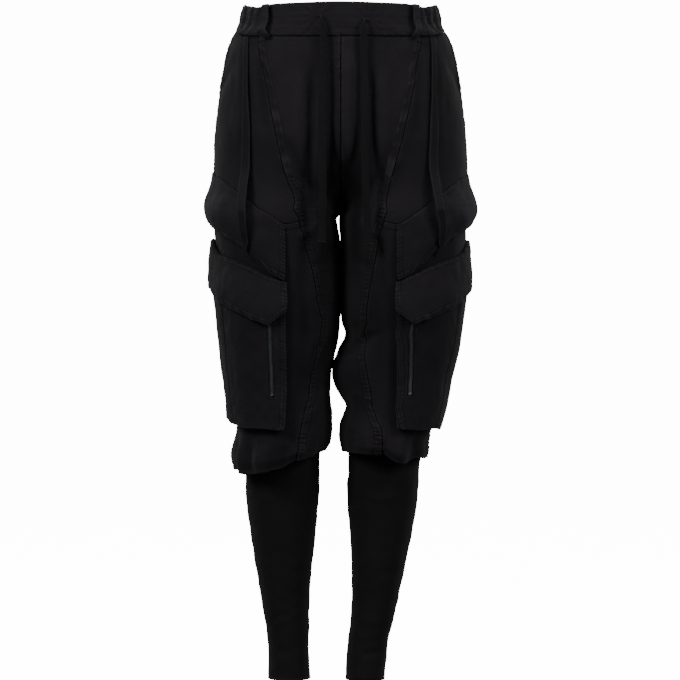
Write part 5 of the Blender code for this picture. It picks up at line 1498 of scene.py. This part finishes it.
def dye_and_shade_group():
    """Garment dye with painted light: cloudy cloth colour, rubbed paler where seams stand up, the same
    pale mix also painting highlights, and painted shade, near black, in hollows.
    """
    tree, start, end = new_group(
        "garment_dye_and_shade", [("Deep", "NodeSocketColor", (0.01, 0.01, 0.01, 1)),
                        ("Faded", "NodeSocketColor", (0.02, 0.02, 0.02, 1)),
                        ("Rubbed_and_highlight", "NodeSocketColor", (0.05, 0.05, 0.05, 1)),
                        ("Wear_and_shade", "NodeSocketFloat", 0.0), ("Yarn", "NodeSocketFloat", 0.5),
                        ("Cloud", "NodeSocketFloat", 0.5)],
        [("Color", "NodeSocketColor"), ("Rubbing_and_highlight", "NodeSocketFloat")])
    where = node(tree, "ShaderNodeTexCoord")
    clouds = node(tree, "ShaderNodeTexNoise", [("Vector", where.outputs["Object"]), ("Scale", 14.0),
                                              ("Detail", 4.0), ("Roughness", 0.62)])
    specks = node(tree, "ShaderNodeTexNoise", [("Vector", where.outputs["Object"]),
                                              ("Scale", 260.0), ("Detail", 3.0)])
    cloudy = node(tree, "ShaderNodeMapRange", [("Value", clouds.outputs[0]), ("From Min", 0.32),
                                              ("From Max", 0.72)]).outputs[0]
    share = maths(tree, "MULTIPLY", cloudy, start.outputs["Cloud"])
    share = maths(tree, "ADD", share, maths(tree, "MULTIPLY", maths(
        tree, "SUBTRACT", start.outputs["Yarn"], 0.5), 0.35))
    cloth_colour = node(tree, "ShaderNodeMix", [(0, share), (6, start.outputs["Deep"]),
                                               (7, start.outputs["Faded"])], data_type="RGBA")
    broken = node(tree, "ShaderNodeMapRange", [("Value", specks.outputs[0]), ("From Min", 0.3),
                                              ("From Max", 0.7), ("To Min", 0.45)]).outputs[0]
    # above zero: paler rubbing, which also serves as painted highlight
    rubbing_and_highlight = maths(tree, "MULTIPLY", start.outputs["Wear_and_shade"], broken)
    rubbing_and_highlight = node(tree, "ShaderNodeClamp", [("Value", rubbing_and_highlight)]).outputs[0]
    shown = node(tree, "ShaderNodeMix", [(0, rubbing_and_highlight), (6, cloth_colour.outputs[2]),
                                        (7, start.outputs["Rubbed_and_highlight"])], data_type="RGBA")
    # painted shade: below zero the value draws the colour towards near black
    painted_shade = node(tree, "ShaderNodeClamp", [("Value", maths(
        tree, "MULTIPLY", start.outputs["Wear_and_shade"], -0.85))]).outputs[0]
    shaded = node(tree, "ShaderNodeMix", [(0, painted_shade), (6, shown.outputs[2]),
                                         (7, (0.0012, 0.0011, 0.0013, 1))], data_type="RGBA")
    tree.links.new(shaded.outputs[2], end.inputs["Color"])
    tree.links.new(rubbing_and_highlight, end.inputs["Rubbing_and_highlight"])
    return tree


def nap_group():
    """The brushed nap: soft tufts in height, and where it lies matt or shines."""
    tree, start, end = new_group(
        "brushed_nap", [("Scale", "NodeSocketFloat", 500.0), ("Matt", "NodeSocketFloat", 0.9),
                        ("Range", "NodeSocketFloat", 0.08)],
        [("Height", "NodeSocketFloat"), ("Roughness", "NodeSocketFloat")])
    where = node(tree, "ShaderNodeTexCoord")
    tufts = node(tree, "ShaderNodeTexNoise", [("Vector", where.outputs["Object"]),
                                             ("Scale", start.outputs["Scale"]), ("Detail", 3.0),
                                             ("Roughness", 0.7)])
    broad = node(tree, "ShaderNodeTexNoise", [("Vector", where.outputs["Object"]), ("Scale", 30.0),
                                             ("Detail", 2.0)])
    around = maths(tree, "MULTIPLY", maths(tree, "SUBTRACT", broad.outputs[0], 0.5),
                   start.outputs["Range"])
    tree.links.new(tufts.outputs[0], end.inputs["Height"])
    tree.links.new(maths(tree, "ADD", start.outputs["Matt"], around), end.inputs["Roughness"])
    return tree


GROUPS = {"weave": weave_group(), "dye_and_shade": dye_and_shade_group(), "nap": nap_group()}

# colours of dyed cloth: deep, faded, and rubbed, which also serves as painted highlight; its weave's
# pitch and slant; nap and gloss
CLOTHS = {
    "twill": dict(deep=(0.0062, 0.0051, 0.0066), faded=(0.0094, 0.0078, 0.0100),
                  rubbed_and_highlight=(0.026, 0.023, 0.028), pitch=0.0011, slant=0.55, relief=0.10, nap=0.30,
                  matt=0.86, sheen=0.03, cloud=0.75),
    "jersey": dict(deep=(0.0052, 0.0047, 0.0054), faded=(0.0072, 0.0065, 0.0075),
                   rubbed_and_highlight=(0.020, 0.020, 0.023), pitch=0.0009, slant=0.0, relief=0.12, nap=0.35,
                   matt=0.92, sheen=0.015, cloud=0.6),
    "tape": dict(deep=(0.0037, 0.0039, 0.0046), faded=(0.0054, 0.0057, 0.0067),
                 rubbed_and_highlight=(0.030, 0.032, 0.036), pitch=0.0012, slant=0.9, relief=0.14, nap=0.25,
                 matt=0.84, sheen=0.025, cloud=0.5),
    "cord": dict(deep=(0.0025, 0.0027, 0.0033), faded=(0.0040, 0.0044, 0.0052),
                 rubbed_and_highlight=(0.032, 0.034, 0.038), pitch=0.0022, slant=1.0, relief=0.30, nap=0.20,
                 matt=0.82, sheen=0.025, cloud=0.5),
    # pocketing: darker than the twill, as painted shade in the pocket mouth
    "pocketing": dict(deep=(0.0036, 0.0036, 0.0040), faded=(0.0052, 0.0052, 0.0058),
                      rubbed_and_highlight=(0.010, 0.010, 0.011), pitch=0.0008, slant=0.0, relief=0.06,
                      nap=0.15, matt=0.95, sheen=0.0, cloud=0.4),
    "thread": dict(deep=(0.014, 0.013, 0.015), faded=(0.024, 0.023, 0.026),
                   rubbed_and_highlight=(0.04, 0.04, 0.04), pitch=0.0006, slant=2.0, relief=0.1, nap=0.1,
                   matt=0.62, sheen=0.0, cloud=0.9),
}


def cloth_finish(name, deep, faded, rubbed_and_highlight, pitch, slant, relief, nap, matt, sheen, cloud):
    made = bpy.data.materials.new(f"{name}_cloth")
    made.use_nodes = True
    tree = made.node_tree
    shader = tree.nodes["Principled BSDF"]
    shader.inputs["Specular IOR Level"].default_value = 0.12
    shader.inputs["Sheen Weight"].default_value = sheen
    shader.inputs["Sheen Roughness"].default_value = 0.55
    shader.inputs["Sheen Tint"].default_value = (0.8, 0.78, 0.82, 1)
    place = node(tree, "ShaderNodeUVMap", uv_map="grain")
    worn_and_shaded = node(tree, "ShaderNodeAttribute", attribute_name="seam_wear_and_shade")
    weave = node(tree, "ShaderNodeGroup", node_tree=GROUPS["weave"])
    tree.links.new(place.outputs[0], weave.inputs["Place"])
    weave.inputs["Pitch"].default_value = pitch
    weave.inputs["Slant"].default_value = slant
    dye_and_shade = node(tree, "ShaderNodeGroup", node_tree=GROUPS["dye_and_shade"])
    for label, colour in (("Deep", deep), ("Faded", faded), ("Rubbed_and_highlight", rubbed_and_highlight)):
        dye_and_shade.inputs[label].default_value = (*colour, 1)
    dye_and_shade.inputs["Cloud"].default_value = cloud
    tree.links.new(worn_and_shaded.outputs["Fac"], dye_and_shade.inputs["Wear_and_shade"])
    tree.links.new(weave.outputs["Yarn"], dye_and_shade.inputs["Yarn"])
    brushed = node(tree, "ShaderNodeGroup", node_tree=GROUPS["nap"])
    brushed.inputs["Matt"].default_value = matt
    height = maths(tree, "ADD", maths(tree, "MULTIPLY", weave.outputs["Height"], relief),
                   maths(tree, "MULTIPLY", brushed.outputs["Height"], nap))
    raised = node(tree, "ShaderNodeBump", [("Height", height), ("Strength", 0.7),
                                          ("Distance", 0.0006)])
    tree.links.new(dye_and_shade.outputs["Color"], shader.inputs["Base Color"])
    tree.links.new(brushed.outputs["Roughness"], shader.inputs["Roughness"])
    tree.links.new(raised.outputs[0], shader.inputs["Normal"])
    made.diffuse_color = (*deep, 1)
    return made


METALS = {"zip_metal": ((0.14, 0.152, 0.157), 0.42), "zip_bright": ((0.16, 0.17, 0.175), 0.34),
          "zip_dark": ((0.012, 0.013, 0.014), 0.45)}


def metal_finish(name, colour, rough):
    made = bpy.data.materials.new(name)
    made.use_nodes = True
    tree = made.node_tree
    shader = tree.nodes["Principled BSDF"]
    shader.inputs["Metallic"].default_value = 0.85
    brushed = node(tree, "ShaderNodeGroup", node_tree=GROUPS["nap"])
    brushed.inputs["Scale"].default_value = 900.0
    brushed.inputs["Matt"].default_value = rough
    brushed.inputs["Range"].default_value = 0.2
    dye_and_shade = node(tree, "ShaderNodeGroup", node_tree=GROUPS["dye_and_shade"])
    dye_and_shade.inputs["Deep"].default_value = (*(v * 0.75 for v in colour), 1)
    dye_and_shade.inputs["Faded"].default_value = (*colour, 1)
    tree.links.new(dye_and_shade.outputs["Color"], shader.inputs["Base Color"])
    tree.links.new(brushed.outputs["Roughness"], shader.inputs["Roughness"])
    raised = node(tree, "ShaderNodeBump", [("Height", brushed.outputs["Height"]),
                                          ("Strength", 0.25), ("Distance", 0.0003)])
    tree.links.new(raised.outputs[0], shader.inputs["Normal"])
    made.diffuse_color = (*colour, 1)
    return made


FINISHES = {name: cloth_finish(name, **sizes) for name, sizes in CLOTHS.items()}
FINISHES.update({name: metal_finish(name, *sizes) for name, sizes in METALS.items()})


# ---- dressing the joggers

for leg in ("left", "right"):
    drawcord(leg)
for leg in ("left", "right"):
    leg_panels(leg)
    knit_leg(leg)
    pocket_tier(leg)
    pocket_face(leg)
    pocket_side(leg)
    pocket_gusset(leg)
    pocket_flap(leg)
    pocket_zip(leg)
    side_strap(leg)
waistband()
for loop_name, loop_stands in LOOPS.items():
    belt_loop(loop_name, *loop_stands)
front_tacks()
sewing()


# ---- stage: a pale floor that curves up all round, and soft studio light

FLOOR_Z, FLOOR_REACH, FLOOR_CURVE, WALL_TOP = -1.03, 5.2, 1.2, 7.0
DISH_SIDES, PAPER_TONE, PAPER_GLOW, WORLD_GLOW = 48, 0.86, 14.0, 0.25
SOFT_LIGHTS = (              # name, place, what it points at, width and height, power
    ("key_left", (-2.4, -2.4, 1.7), (0, 0, -0.1), (1.2, 1.6), 115),
    ("fill_right", (2.6, -2.2, 1.2), (0, 0, -0.2), (1.2, 1.8), 75),
    ("back_left", (-2.6, 2.6, 1.4), (0, 0, -0.3), (1.4, 1.8), 40),
    ("back_right", (2.6, 2.6, 1.4), (0, 0, -0.3), (1.4, 1.8), 40),
    ("top", (0, -0.4, 2.4), (0, 0, -0.4), (2.4, 1.6), 45))


def stage_sheet():
    """Floor and backdrop in one dish, wide enough to look at the joggers from any side."""
    bend = np.linspace(0, pi / 2, 16)
    reach = np.concatenate([[0.0001], FLOOR_REACH + FLOOR_CURVE * np.sin(bend),
                            [FLOOR_REACH + FLOOR_CURVE]])
    height = np.concatenate([[FLOOR_Z], FLOOR_Z + FLOOR_CURVE * (1 - np.cos(bend)), [WALL_TOP]])
    turns = np.linspace(0, 2 * pi, DISH_SIDES + 1)[:-1]
    corners = [(r * np.cos(a), r * np.sin(a), z) for r, z in zip(reach, height) for a in turns]
    rings = np.arange(len(reach) * DISH_SIDES).reshape(len(reach), DISH_SIDES).tolist()
    faces = [(low[n], low[(n + 1) % DISH_SIDES], high[(n + 1) % DISH_SIDES], high[n])
             for low, high in zip(rings, rings[1:]) for n in range(DISH_SIDES)]
    mesh = bpy.data.meshes.new("backdrop")
    mesh.from_pydata(corners, [], faces)
    mesh.shade_smooth()
    paper = bpy.data.materials.new("backdrop_paper")
    paper.use_nodes = True
    sockets = paper.node_tree.nodes["Principled BSDF"].inputs
    sockets["Base Color"].default_value = (PAPER_TONE,) * 3 + (1,)
    sockets["Roughness"].default_value = 0.9
    sockets["Emission Color"].default_value = (1, 1, 1, 1)
    sockets["Emission Strength"].default_value = PAPER_GLOW
    mesh.materials.append(paper)
    sheet = bpy.data.objects.new("backdrop", mesh)
    bpy.context.scene.collection.objects.link(sheet)
    sheet.visible_diffuse = sheet.visible_glossy = sheet.visible_shadow = False


def soft_light(name, place, aim, size, power):
    lamp = bpy.data.lights.new(name, "AREA")
    lamp.shape = "RECTANGLE"
    lamp.size, lamp.size_y = size
    lamp.energy = power
    made = bpy.data.objects.new(name, lamp)
    made.location = place
    from_to = np.array(aim, float) - np.array(place, float)
    made.rotation_euler = Vector(from_to).to_track_quat("-Z", "Y").to_euler()
    bpy.context.scene.collection.objects.link(made)


stage_sheet()
for light in SOFT_LIGHTS:
    soft_light(*light)
world = bpy.data.worlds.new("studio")
world.use_nodes = True
world.node_tree.nodes["Background"].inputs["Color"].default_value = (1, 1, 1, 1)
world.node_tree.nodes["Background"].inputs["Strength"].default_value = WORLD_GLOW
bpy.context.scene.world = world
